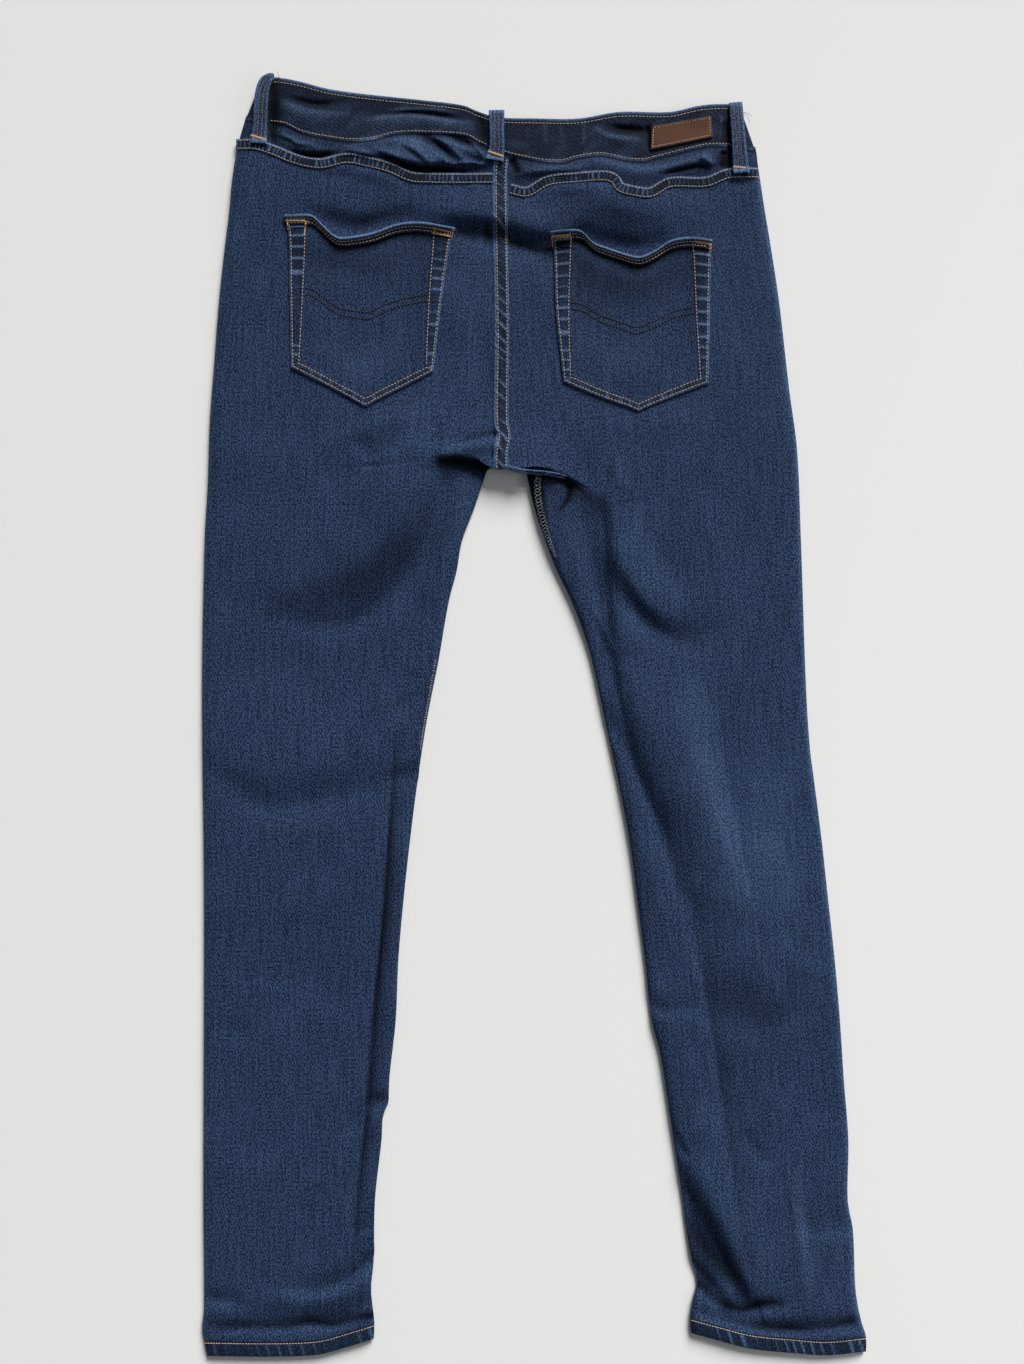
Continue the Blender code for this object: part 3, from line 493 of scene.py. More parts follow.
# Folds of the legs and seat. `left` and `right` are their widths to either side of somebody who
# walks along the line.
BODY_FOLDS = (
    Fold("left_thigh_swell", ((-86, 300), (-98, 326), (-112, 350), (-126, 366), (-140, 376), (-156, 384),
         (-172, 388), (-192, 388), (-214, 382)), (9, 12.5, 12.5, 9.5, 5.6, 3.4, 0.5), (20, 22, 18), (30, 45,
         40)),
    Fold("left_crotch_hollow", ((-82, 304), (-66, 303), (-48, 306), (-36, 312)), (-0.6, -2.4, -3, -3), 5, 9),
    Fold("right_crotch_hollow", ((-4, 309), (12, 311), (24, 314), (34, 320)), (-2.4, -2.4, -1.8, -0.6), 3,
         3.5),
    Fold("right_crotch_crease", ((22, 311), (27.5, 318), (27, 326), (22.5, 333.5), (17, 339)), (-2, -3.2, -3,
         -1.8, -0.4), 2.2, 2.6),
    Fold("crotch_wedge", ((-78, 292), (-60, 290), (-44, 288), (-29, 287)), (0.3, 2, 2.4, 1.6), 4.5, 5),
    Fold("crotch_spot", ((-60, 286), (-46, 283), (-30, 279)), (-0.5, -2.2, -2.2), 3.5, 2.2),
    Fold("crotch_beside_seam", ((-34, 283), (-33.5, 290), (-32, 298)), -1.6, 2, 2.4),
    Fold("left_thigh_foot", ((-69, 317), (-77, 348), (-89, 375), (-103, 396), (-122, 414), (-146, 425),
         (-172, 425), (-199, 417)), (-3.8, -4.2, -3.9, -3, -1.8, -1.2), 9, 9),
    Fold("left_thigh_spur", ((-176, 396), (-190, 402), (-199, 412), (-207, 423)), 1, 7, 7),
    Fold("left_inner_thigh", ((-51, 317), (-63, 352), (-72, 390), (-78, 421)), 1.9, 10, 12),
    Fold("left_tick", ((-142, 280), (-134, 286), (-129, 294), (-133, 306), (-142, 320)), -1.4, 7, 4),
    Fold("left_tick_ridge", ((-80, 280), (-103, 292), (-122, 306), (-138, 324), (-153, 342), (-167, 363),
         (-174, 383)), (0.5, 1.8, 2, 1.6, 1.6, 0.8), 11, 7),
    Fold("left_thigh_haze", ((-157, 313), (-146, 333), (-126, 348)), (-1.6, -1.6), 16, 16),
    Fold("left_knee_top", ((-249, 471), (-215, 465), (-176, 460), (-134, 452)), (-0.9, -1.6, -1.2, -0.5), 22,
         22),
    Fold("left_knee_crest", ((-246, 525), (-211, 533), (-165, 529), (-119, 517)), (1.2, 2, 2, 1.2), 28, 20),
    Fold("left_knee_crease", ((-249, 537), (-234, 547), (-219, 560), (-203, 566), (-176, 562), (-146, 555),
         (-107, 549), (-90, 544)), (-1.4, -2.1, -2.2, -2, -1.7, -2.1), 12, 9),
    Fold("left_knee_lower", ((-223, 591), (-172, 587), (-126, 583), (-107, 583)), (0.5, 1.2, 1.2, 0.6), 12,
         34),
    Fold("left_knee_arc", ((-123, 521), (-119, 508), (-109, 492), (-95, 483), (-86, 481)), (-0.3, -1.4, -1.6,
         -1.3, -0.8), 6, 6),
    Fold("left_knee_inner", ((-112, 543), (-101, 542), (-87, 541)), (-0.6, -2.9, -2.9), 6, 5),
    Fold("left_inner_nick", ((-97, 456), (-84, 457)), 0.8, 4, 5),
    Fold("left_shin_crest", ((-226, 646), (-184, 639), (-119, 633)), (0.9, 1.6, 1.2), 30, 18),
    Fold("left_shin_valley", ((-176, 706), (-157, 708), (-130, 704)), (-1.6, -1.9, -1.2), 34, 16),
    Fold("left_shin_low", ((-246, 824), (-203, 824), (-172, 814)), (-1.2, -1.6, -0.8), 30, 14),
    Fold("left_side_wave", ((-248, 733), (-230, 739), (-215, 738)), -1, 9, 7),
    Fold("left_inseam_groove", ((-105, 506), (-107, 537), (-110, 575), (-112, 614), (-115, 648), (-119, 683),
         (-122, 718), (-124, 756), (-128, 798), (-132, 837), (-136, 872), (-138, 906)), (-0.3, -1.1, -1.5,
         -1.6, -1.6, -1.5, -1), 2.8, 2),
    Fold("left_inseam_strip", ((-101, 537), (-104, 575), (-107, 614), (-109, 648), (-113, 683), (-116, 718),
         (-118, 756), (-122, 798), (-126, 837), (-129, 872), (-132, 906)), (0.6, 0.9, 0.9, 0.9, 0.8), 4, 4),
    Fold("left_notch", ((-113, 791), (-122, 793), (-129, 798), (-137, 808), (-142, 816)), (-4.4, -4.8, -2.2,
         -2.9, -1.5), 7, 5),
    Fold("left_notch_ridge", ((-115, 802), (-126, 811), (-146, 837), (-169, 868)), (2.9, 1.8, 1.3, 0.3), 8,
         8),
    Fold("left_low_slant", ((-163, 855), (-172, 868), (-183, 883)), -1.3, 7, 7),
    Fold("left_ankle_pinch", ((-182, 938), (-165, 935), (-149, 929), (-138, 922), (-129, 914), (-124, 906)),
         (-0.8, -2.9, -3.4, -3.6, -4.9, -4.9), 8, 6),
    Fold("left_ankle_above", ((-138, 892), (-124, 889)), (-1.1, -2.2), 6, 4),
    Fold("left_ankle_roll", ((-215, 947), (-196, 945), (-172, 946), (-146, 941), (-129, 930)), (0.8, 2.3, 2.6,
         2.9, 2.9), 8, 7),
    Fold("left_ankle_side", ((-254, 944), (-238, 945), (-219, 949)), (-2.6, -2.4, -0.3), 6, 5),
    Fold("left_hem_press", ((-253, 964), (-230, 966), (-203, 966), (-176, 964), (-153, 962), (-138, 957),
         (-126, 945)), (-2.2, -2.2, -2.4, -3.5, -4, -3.7, -3.5), 6, 4),
    Fold("right_wall", ((61, 325), (65, 356), (65, 390), (68, 425), (72, 460)), (2, 3.4, 3.4, 3, 1.5), 22,
         (10, 9, 8), "right"),
    Fold("right_inner_valley", ((40, 344), (45, 375), (50, 410), (55, 444), (62, 475)), (-0.9, -1.8, -2, -1.8,
         -0.9), 6, 8),
    Fold("right_inner_strip", ((24, 356), (35, 390), (45, 421)), (1, 1), 8, 8),
    Fold("right_thigh_swell", ((59, 325), (64, 356), (72, 383), (85, 401), (101, 413), (120, 419), (143, 414),
         (162, 406)), (0.7, 1.8, 5.1, 5.9, 5.1, 2.4, 1.5, 0.4), 24, (10, 10, 9)),
    Fold("right_thigh_foot", ((68, 391), (75, 408), (87, 424), (103, 434), (119, 438)), (-1, -2.6, -3, -2.6,
         -1), 6, 10),
    Fold("right_thigh_hollow", ((76, 336), (91, 363), (107, 387)), (-1.2, -1.6, -1.2), 12, 14),
    Fold("right_thigh_outer", ((116, 313), (128, 348), (143, 379)), (0.6, 1.2, 1.2), 16, 26),
    Fold("right_knee_swell", ((66, 456), (80, 483), (95, 508), (114, 541), (136, 579), (153, 618),
         (166, 656)), (1.7, 5.2, 7.4, 8, 5.8, 3, 0.3), (56, 50, 46, 31, 20, 12, 10), (6, 16, 28, 32, 38, 42,
         42), "both"),
    Fold("right_inner_line", ((61, 504), (73, 526), (84, 549), (94, 575), (104, 601), (114, 629), (123, 660),
         (130, 691)), (-1.9, -1.7, -1.4, -1.4, -1.4, -1.4), 8, 5),
    Fold("right_inner_roll", ((74, 556), (84, 591), (93, 629), (103, 668)), (1, 1.6, 1.6, 1), 9, 8),
    Fold("right_shin_line", ((124, 660), (132, 698), (138, 737), (143, 772), (149, 810), (154, 849),
         (159, 887), (165, 922)), (-1.8, -2, -1.8, -1.7, -1.7, -1.3, -1.1), 22, 4.5),
    Fold("right_shin_roll", ((109, 725), (120, 768), (130, 810), (138, 849)), (0.8, 1.6, 1.6, 1), 8, 14),
    Fold("right_shin_cloud_crest", ((155, 698), (174, 695), (193, 695)), (1.2, 1.9, 1.2), 26, 16),
    Fold("right_shin_cloud", ((151, 733), (170, 735), (193, 731)), (-1.6, -2.5, -1.9), 18, 10),
    Fold("right_inner_nick", ((92, 720), (107, 722), (120, 720)), (-3.3, -2.2, -1.1), 8, 5),
    Fold("right_side_crest", ((209, 691), (232, 698)), (0.7, 1), 10, 8),
    Fold("right_side_valley", ((216, 798), (241, 804)), (-0.8, -1.6), 24, 8),
    Fold("right_shin_slant", ((159, 814), (170, 829), (182, 842)), -1.6, 6, 7),
    Fold("right_low_ridge", ((198, 849), (202, 887), (208, 922), (214, 960)), (0.4, 0.9, 1, 1, 0.4), 6, 4),
    Fold("right_ankle_side", ((203, 891), (220, 892), (247, 889)), (-0.7, -1.8, -3.3), 16, 5),
    Fold("right_inner_smudge", ((117, 825), (132, 833)), (-1.8, -1), 9, 8),
    Fold("right_ankle_crest", ((124, 841), (136, 864), (149, 887), (159, 910), (169, 937)), (3.9, 6.2, 6.8,
         5.6, 3.1), 26, 12, "right"),
    Fold("right_ankle_hollow", ((117, 864), (127, 891), (141, 910), (152, 926), (162, 941)), (-4.2, -4.7,
         -4.4, -4.4, -3.6), 7, 9),
    Fold("right_ankle_roll", ((129, 914), (139, 926), (149, 939)), (1, 1.2, 0.8), 7, 8),
    Fold("right_ankle_wave", ((122, 922), (136, 938), (151, 953), (170, 952), (193, 948)), (-5.5, -6, -6,
         -4.7, -1.3), 7, 6),
    Fold("right_hem_press", ((132, 956), (159, 964), (189, 968), (220, 966), (247, 965)), (-2.6, -4, -4, -2.9,
         -2.6), 6, 4),
    Fold("seat_centre_step", ((-88, 104), (-65, 106), (-42, 108), (-18, 112), (5, 118), (24, 118)), (1, 3.1,
         4.1, 4.1, 3.6, 1.8), 16, 9),
    Fold("seat_centre_dip", ((-63, 120), (-45, 123), (-26, 126), (-7, 132), (16, 134)), (-2, -3.4, -3.6, -3.4,
         -2.3), 7, 12),
    Fold("left_mouth_dip", ((-172, 108), (-153, 114), (-134, 118), (-115, 114), (-99, 110)), (-1.3, -3.1,
         -3.4, -2.6, -1.3), 7, 9),
    Fold("right_mouth_swell", ((24, 100), (51, 97), (82, 102), (112, 105)), (1.9, 4.7, 5, 1.9), 20, 17),
    Fold("right_mouth_dip", ((35, 126), (55, 131), (78, 135), (97, 131)), (-2.3, -3.4, -3.4, -1.6), 8, 8),
    Fold("left_of_centre", ((-39, 190), (-37, 221), (-34, 256)), (-0.6, -1.4, -0.9), 4, 10),
    Fold("seat_left_slope", ((-57, 171), (-51, 206), (-45, 240)), (0.6, 1.2, 0.6), 14, 14),
    Fold("under_left_pocket", ((-157, 286), (-126, 274), (-92, 265), (-69, 255)), (0.4, 1.8, 1.8, 0.5), 9,
         11),
    Fold("under_right_pocket", ((59, 273), (93, 272), (128, 268)), (0.8, 1.6, 0.8), 12, 14),
    Fold("right_seat_drag", ((20, 256), (43, 279), (66, 313)), (0.5, 1.6, 0.9), 14, 14),
    Fold("right_seat_fade", ((139, 175), (145, 206), (155, 229)), (0.5, 1.1, 0.5), 12, 12),
)
# Folds of the yokes, bunched between the band and the seat.
WAIST_FOLDS = (
    Fold("left_yoke_main", ((-114, 54), (-102, 51.5), (-90, 53), (-82, 57), (-76, 62), (-72, 66)), (0.5, 3, 4,
         3.4, 2.2, 0.8), 3.2, 8),
    Fold("left_yoke_gap", ((-87, 49.5), (-78, 52.5), (-71, 56.5), (-65, 60)), (-0.4, -1.5, -1.5, -0.5), 2.2,
         2.4),
    Fold("left_yoke_ridge", ((-77, 50), (-64, 53), (-54, 58), (-47, 61)), (0.7, 3.5, 3.5, 1.4), 2.2, 5),
    Fold("left_yoke_split", ((-65, 50), (-55, 52.5), (-48, 55), (-42, 59)), (-0.4, -1.4, -1.4, -0.5), 1.9,
         2.2),
    Fold("left_yoke_knuckle", ((-52, 56.5), (-44, 58), (-40, 62), (-36, 67)), (0.7, 2.8, 3.4, 1.4), 2, 4),
    Fold("left_yoke_belly", ((-138, 60), (-120, 61), (-108, 63), (-97, 66), (-85, 68), (-70, 67), (-55, 67),
         (-42, 70)), (0.6, 1.8, 3.2, 4.2, 4, 2.8, 1.8, 0.8), 9, 4.2, "right"),
    Fold("left_yoke_drag_a", ((-127, 56.5), (-118, 59), (-108, 64), (-99, 70)), (0.4, 1.3, 1.4, 0.5), 2.8,
         1.7),
    Fold("left_yoke_drag_b", ((-102, 54), (-93, 58), (-85, 64), (-79, 70)), (0.5, 1.5, 1.5, 0.6), 2.8, 1.7),
    Fold("left_yoke_drag_c", ((-74, 51), (-65, 57), (-57, 64), (-50, 71)), (0.5, 1.5, 1.5, 0.6), 2.6, 1.7),
    Fold("left_yoke_drag_d", ((-50, 52), (-44, 57), (-39, 63)), (0.5, 1.4, 0.6), 2.2, 1.5),
    Fold("left_yoke_gap_b", ((-98, 59.5), (-91, 63), (-85, 68.5)), (-0.2, -0.7, -0.3), 1.3, 2.2),
    Fold("left_yoke_gap_c", ((-71, 58), (-65, 62.5), (-59, 68.5)), (-0.2, -0.8, -0.3), 1.3, 2.2),
    Fold("left_yoke_rim", ((-76, 62.5), (-70, 65), (-67, 69), (-60, 70), (-52, 68.8), (-43, 69.5), (-34, 73)),
         1.9, 1.3, 1.3),
    Fold("left_yoke_hollow", ((-124, 62.5), (-110, 65.5), (-99, 71), (-88, 73.8), (-70, 74.6), (-52, 75.6),
         (-42, 77)), (-0.6, -1.8, -3.2, -3.8, -3, -1.2, -0.3), 2, 2.4),
    Fold("left_yoke_arch", ((-154, 62), (-142, 60), (-130, 61.5), (-118, 65.5), (-108, 69.5)), (0.5, 2, 2.2,
         1.6, 0.6), 4, 2.6),
    Fold("left_yoke_brow", ((-142, 57.5), (-134, 54), (-124, 52.5), (-108, 51)), (0.6, 2.1, 2.1, 1), 1.5, 4),
    Fold("left_yoke_pit", ((-185, 61), (-175, 63.5), (-163, 64), (-152, 61.5)), (-0.8, -3, -3, -0.8), 2.4,
         1.8),
    Fold("left_yoke_curl", ((-197, 46.5), (-187, 50), (-180, 54.5), (-173, 54), (-167, 58)), (0.9, 2.5, 2.5,
         2, 0.8), 2.1, 2.4),
    Fold("left_yoke_swell", ((-196, 51), (-180, 58), (-165, 60)), (1, 1.6, 1), 6, 4),
    Fold("left_band_streak", ((-198, 21), (-188, 25), (-176, 29), (-158, 32), (-142, 33)), (0.7, 2.6, 2.3,
         1.7, 0.5), 2.6, 9),
    Fold("left_band_crease", ((-187, 19.5), (-176, 22.5), (-163, 24), (-148, 22)), (-0.5, -1.6, -1.6, -0.5),
         2.2, 2.4),
    Fold("left_band_long", ((-134, 38), (-120, 35.5), (-106, 33.5), (-90, 33), (-72, 35.5), (-56, 38.5),
         (-44, 40)), (0.7, 2.4, 3.2, 3.2, 3, 2.4, 0.8), 2.2, 9),
    Fold("left_band_pleat", ((-122, 32.5), (-104, 31), (-88, 31), (-70, 33.5), (-54, 36.5)), (-0.4, -1.2,
         -1.6, -1.4, -0.6), 1.7, 1.5),
    Fold("left_band_upper", ((-112, 30), (-95, 28.3), (-78, 28.3), (-60, 31)), (0.4, 1.4, 1.4, 0.5), 1.6,
         1.9),
    Fold("left_band_blotch", ((-160, 24), (-148, 27), (-138, 31)), 0.7, 5, 5),
    Fold("left_loop_hollow", ((-200, 4), (-201.5, 18), (-202, 34), (-202, 49)), (-1.5, -2.8, -2.8, -2), 5.5,
         2.2),
    Fold("left_centre_hollow", ((-43, 33), (-39, 43), (-38, 54)), (-1, -2, -1.6), 3, 4),
    Fold("right_band_ticks_a", ((8, 38), (8.6, 46), (9.4, 57)), 0.8, 1.5, 1.9),
    Fold("right_band_ticks_b", ((20, 39), (21, 48), (20.6, 58)), 0.6, 1.7, 1.5),
    Fold("right_band_ticks_c", ((38, 36), (38.6, 47), (38, 59)), 1.0, 1.4, 2),
    Fold("right_band_ticks_d", ((-6, 42), (-5.2, 52)), 0.5, 2, 1.6),
    Fold("right_band_ticks_e", ((144, 31), (144.6, 44), (144, 55)), 1.6, 1.8, 2),
    Fold("right_band_dip", ((57, 41), (68, 43), (78, 44), (87, 45)), (-0.8, -2.4, -2.4, -1.4), 2.8, 3),
    Fold("right_band_ridge", ((46, 42), (54, 46.5), (64, 49.5), (80, 51)), (0.6, 2.2, 2.5, 1.4), 1.9, 5),
    Fold("right_patch_gap", ((88, 38), (88.5, 50), (89, 62)), -1.6, 1.6, 1.6),
    Fold("right_loop_gap", ((151, 28), (151, 45), (151, 60), (150.6, 73)), (-2, -3, -3, -2.4), 1.5, 2),
    Fold("right_loop_shade", ((147, 36), (147, 47), (147, 57)), -1.7, 3, 3),
    Fold("right_yoke_bulge", ((33, 70), (48, 68), (64, 71), (80, 74.5), (98, 73.5), (114, 69.5), (130, 65),
         (141, 63.5)), (1, 3, 3.6, 3.8, 3.8, 3.6, 3.2, 1.4), 4.2, 8),
    Fold("right_yoke_swell", ((-13, 77), (2, 75), (18, 74), (34, 73.5)), (1.2, 2.9, 3.1, 1.7), 5, 4),
    Fold("right_yoke_pit", ((-18, 65), (-15, 72), (-12, 79)), -2.4, 3, 2.4),
    Fold("right_yoke_crease", ((98, 78), (112, 75), (126, 72), (135, 71.5)), (-0.6, -2, -2, -0.6), 2.2, 2),
    Fold("right_yoke_knob", ((128, 62.5), (134, 67), (139, 72)), 2.3, 2.4, 3),
    Fold("right_loop_pit", ((146, 59), (146, 67), (145, 75)), -2.8, 3, 2.8),
    Fold("left_under_seam", ((-152, 73.5), (-130, 75.5), (-114, 80), (-102, 87)), (0.4, 1.2, 1.2, 0.5), 2.4,
         5),
    Fold("left_under_dent", ((-166, 77), (-150, 79), (-138, 78.5)), -0.9, 2.4, 2.4),
    Fold("right_under_seam", ((2, 93.5), (16, 88.5), (40, 87), (60, 89.5)), (0.5, 1.6, 1.6, 0.5), 2.4, 6),
    Fold("right_under_dent", ((149, 85.5), (160, 84.5), (172, 86)), -1.0, 1.6, 1.6),
    Fold("centre_drag_a", ((-50, 87), (-42, 90), (-33, 97)), 0.9, 1.6, 1.6),
    Fold("centre_drag_b", ((-46, 96), (-40, 98), (-33, 103)), 0.6, 1.5, 1.5),
)
# Folds that only sink. Painted shade is put into these hollows on the backs, yokes and band.
HOLLOWS = tuple(fold for fold in WAIST_FOLDS if np.max(fold.up) < 0)
# Lighter streaks painted as highlights on ridges that catch the light, and painted shade in creases, hollows
# and under the seat's lip, over the legs and the seat
PAINTED_HIGHLIGHTS = (
    Fold("right_knee", ((116, 468), (132, 530), (148, 590), (160, 650)), (0.02, 0.14, 0.22, 0.04), 10, 12),
    Fold("right_calf", ((172, 540), (184, 600), (194, 660)), (0.08, 0.2, 0.06), 24, 24),
    Fold("right_ankle", ((203, 850), (208, 900), (213, 950)), (0.05, 0.22, 0.06), 4.5, 4.5),
)
PAINTED_SHADE = (
    Fold("left_thigh", ((-84, 336), (-104, 374), (-132, 398), (-180, 406)), (0.15, 0.3, 0.3, 0.1), 14, 22),
    Fold("left_inseam", ((-99, 535), (-108, 620), (-115, 710), (-121, 790), (-128, 890)), (0.1, 0.34, 0.34,
         0.3, 0.2), 7, 7),
    Fold("right_shin", ((150, 712), (176, 728), (204, 730)), (0.15, 0.3, 0.1), 18, 18),
    Fold("right_shin_shade", ((126, 670), (133, 705), (140, 745), (146, 790), (154, 849), (163, 910)), (0.1,
         0.34, 0.34, 0.3, 0.28, 0.1), 10, 2.2),
    Fold("right_foot", ((122, 884), (138, 908), (152, 926), (164, 940)), (0.2, 0.5, 0.6, 0.5), 6, 8),
    Fold("right_foot_side", ((117, 870), (125, 900), (136, 926)), (0.1, 0.5, 0.5), 10, 10),
    Fold("right_notch", ((121, 929), (130, 934), (140, 942), (151, 950)), (0.9, 0.7, 0.6, 0.7), 3.5, 4),
    Fold("right_wave", ((149, 949), (160, 952), (170, 949.5), (180, 947), (193, 948)), (0.8, 1.1, 1.2, 1.2,
         0.4), 3.4, 1.9),
    Fold("right_press", ((170, 965), (190, 966), (215, 966.5), (246, 961)), (0.3, 1, 0.65, 0.9), 4.5, 2.4),
    Fold("left_press", ((-252, 967.5), (-227, 964.5), (-193, 965), (-172, 961), (-155, 963.5), (-141, 960),
         (-124, 956.5)), (0.4, 0.75, 0.5, 0.7, 1.1, 0.85, 1.1), 4.5, 2.5),
    Fold("left_pinch", ((-180, 938), (-165, 935), (-149, 929), (-138, 922), (-125, 908)), (0.1, 0.3, 0.4, 0.5,
         0.5), 4, 3),
    Fold("left_inseam_line", ((-105, 510), (-110, 575), (-115, 648), (-122, 718), (-128, 798), (-136, 872),
         (-138, 906)), (0.3, 0.8, 0.8, 0.8, 0.75, 0.7, 0.3), 2, 1.6),
    Fold("crotch_left", ((-72, 299), (-64, 298), (-54, 299.5), (-42, 302.5), (-33, 307)), (0.9, 1.6, 1.7, 1.7,
         1.7), 4.5, 4.6),
    Fold("crotch_right", ((-8, 308), (6, 309.5), (20, 311), (30, 315.5), (42, 324)), (1, 1, 0.95, 0.8, 0.1),
         2.2, 2.8),
    Fold("crotch_crease", ((23, 312), (27.8, 318), (27.4, 326), (22.5, 334), (16.5, 340)), (1, 1.5, 1.5, 1.1,
         0.2), 1.9, 2.1),
    Fold("crotch_under", ((8, 315), (22, 317), (34, 322), (48, 331), (62, 346)), (0.3, 0.45, 0.6, 0.55, 0.15),
         8, 8),
    Fold("chain_edge", ((7.4, 310), (6.2, 318), (6.8, 326), (8.2, 336)), (0.8, 0.9, 0.8, 0.2), 1.2, 1.2),
    Fold("crotch_spot_dark", ((-58, 285.5), (-46, 282.5), (-30, 279)), (0.1, 0.45, 0.5), 3, 2),
    Fold("crotch_beside", ((-34, 284), (-33.5, 290), (-32, 298)), (0.2, 0.55, 0.3), 1.8, 2),
    Fold("beside_chain", ((-2, 311), (0, 320), (2.5, 331), (6, 342), (10, 353)), (1.5, 1.5, 1.3, 1, 0.3), 6,
         3),
    Fold("between", ((-54, 122), (-34, 125), (-8, 131), (10, 133)), (0.2, 0.36, 0.42, 0.2), 6, 5),
    Fold("between_left", ((-58, 121), (-52, 123.5), (-44, 124)), (0.7, 0.7, 0.2), 2.6, 2.6),
    Fold("between_seam", ((-37, 112), (-35.5, 121), (-34.5, 131)), (0.2, 0.7, 0.3), 2.4, 2.2),
    Fold("between_right", ((-20, 130), (-8, 133.5), (4, 137), (13, 136)), (0.4, 0.9, 1, 0.5), 3.4, 1.7),
    Fold("over_right_mouth", ((28, 118), (52, 124), (76, 130), (100, 124)), (0.2, 0.35, 0.3, 0.1), 8, 6),
    Fold("over_left_mouth", ((-158, 112), (-140, 117), (-118, 112), (-90, 106)), (0.4, 0.6, 0.4, 0.1), 6, 5),
)
FOLD_TAPER = 0.22  # share of a fold's length over which each of its ends dies away
FOLD_REACH = 2.6  # widths to either side over which a fold is felt
FOLD_STEP = 6.0
BACK_EDGE_STEPS = (0.0, 0.35, 0.9, 1.8, 3.2, 5.0, 7.0)
BACK_STEP = 3.2
BACK_SEAM = SEAM_UP + SEAM_GAP  # height of the backs' edges
DROOP = 0.9  # the cloth sinks a little further towards its sides
DROOP_REACH = 18.0
LOWEST = 3.1  # the back lies on the front, so no hollow goes below this
SOFT_LOWEST = 0.5
WAIST_END = 130.0  # the waist's folds reach down to here


def curve_through(points, step):
    """Points at an even step along a smooth curve through the given ones."""
    points = np.array(points, float)
    run = np.concatenate([[0], np.cumsum(np.hypot(*np.diff(points, axis=0).T))])
    fine = np.linspace(0, run[-1], max(8, int(run[-1] * 2)))
    curve = np.stack([smooth_at(np.stack([run, points[:, k]], axis=1), fine) for k in (0, 1)], axis=1)
    along = np.concatenate([[0], np.cumsum(np.hypot(*np.diff(curve, axis=0).T))])
    even = np.linspace(0, along[-1], max(2, round(along[-1] / step) + 1))
    return np.stack([np.interp(even, along, curve[:, k]) for k in (0, 1)], axis=1)


def along_values(value, share):
    """A fold's height or width along it: one number, or several at even steps."""
    if np.ndim(value) == 0:
        return np.full_like(share, value)
    marks = np.linspace(0, 1, len(value))
    return smooth_at(np.stack([marks, value], axis=1), share)


def fold_sum(folds, across, down):
    """What the folds add at each point. Each is bell-shaped across its line, or steep on its sharp side."""
    shape = across.shape
    across, down = across.ravel(), down.ravel()
    total = np.zeros(across.shape)
    for fold in folds:
        line = curve_through(fold.line, FOLD_STEP)
        reach = FOLD_REACH * max(np.max(fold.left), np.max(fold.right))
        low, high = line.min(axis=0) - reach, line.max(axis=0) + reach
        near = np.flatnonzero((across > low[0]) & (across < high[0]) & (down > low[1]) & (down < high[1]))
        if not len(near):
            continue
        x, d = across[near], down[near]
        best = np.full(len(near), np.inf)
        side, along = np.ones(len(near)), np.zeros(len(near))
        run = 0.0
        for (ax, ad), (bx, bd) in zip(line, line[1:]):
            dx, dd = bx - ax, bd - ad
            length = math.hypot(dx, dd)
            t = np.clip(((x - ax) * dx + (d - ad) * dd) / length ** 2, 0, 1)
            ox, od = x - ax - t * dx, d - ad - t * dd
            gap = np.hypot(ox, od)
            closer = gap < best
            best = np.where(closer, gap, best)
            side = np.where(closer, np.sign(dd * ox - dx * od), side)
            along = np.where(closer, run + t * length, along)
            run += length
        share = along / run
        on_left = side > 0
        gap = best / np.where(on_left, along_values(fold.left, share), along_values(fold.right, share))
        up = along_values(fold.up, share)
        if np.ndim(fold.up) == 0:
            up = up * ease(np.minimum(share, 1 - share) / FOLD_TAPER)
        straight = np.where(on_left, fold.sharp in ("left", "both"), fold.sharp in ("right", "both"))
        total[near] += up * np.where(straight, np.maximum(0, 1 - gap ** 2), bell(gap, 0, 1))
    return total.reshape(shape)


LATTICE = 256  # lumps of a ripple before it repeats


def ripple(across, down, size, seed):
    """Smooth uneven relief from -1 to 1, with lumps of about the given size."""
    lattice = np.random.default_rng(SEED + seed).uniform(-1, 1, (LATTICE + 1, LATTICE + 1))
    x, y = np.asarray(across, float) / size + 100, np.asarray(down, float) / size + 20
    i, j = np.floor(x).astype(int) % LATTICE, np.floor(y).astype(int) % LATTICE
    s, t = ease(x % 1), ease(y % 1)
    top = lattice[i, j] * (1 - s) + lattice[i + 1, j] * s
    low = lattice[i, j + 1] * (1 - s) + lattice[i + 1, j + 1] * s
    return top * (1 - t) + low * t


Ripple = namedtuple("Ripple", "up size stretch seed")
RIPPLES = (Ripple(0.22, 34, 1.0, 0), Ripple(0.16, 15, 0.8, 1), Ripple(0.05, 6, 1.0, 2))


def back_height(across, down, seat):
    """Height of the back's face above the floor. Seat is 1 above the lip at the crotch and 0 below."""
    up = smooth_at(BODY_RISE, down) + fold_sum(BODY_FOLDS, across, down)
    waist = down < WAIST_END
    up[waist] += fold_sum(WAIST_FOLDS, across[waist], down[waist])
    for lumps in RIPPLES:
        up += lumps.up * ripple(across, down * lumps.stretch, lumps.size, lumps.seed)
    above = np.maximum(smooth_at(SEAT_LIP, across) - down, 0)
    grow = ease((across - LIP_ENDS[0]) / (LIP_ENDS[1] - LIP_ENDS[0]))
    die = ease((LIP_ENDS[3] - across) / (LIP_ENDS[3] - LIP_ENDS[2]))
    up += seat * LIP_UP * grow * die * bell(above, 0, LIP_REACH)
    return LOWEST + np.logaddexp(0, (up - LOWEST) / SOFT_LOWEST) * SOFT_LOWEST


def drooped(across, down, gap, seat=0.0):
    """Height of the back's face, lowered towards an edge that lies a gap away."""
    return back_height(across, down, seat) - DROOP * np.exp(-gap / DROOP_REACH)


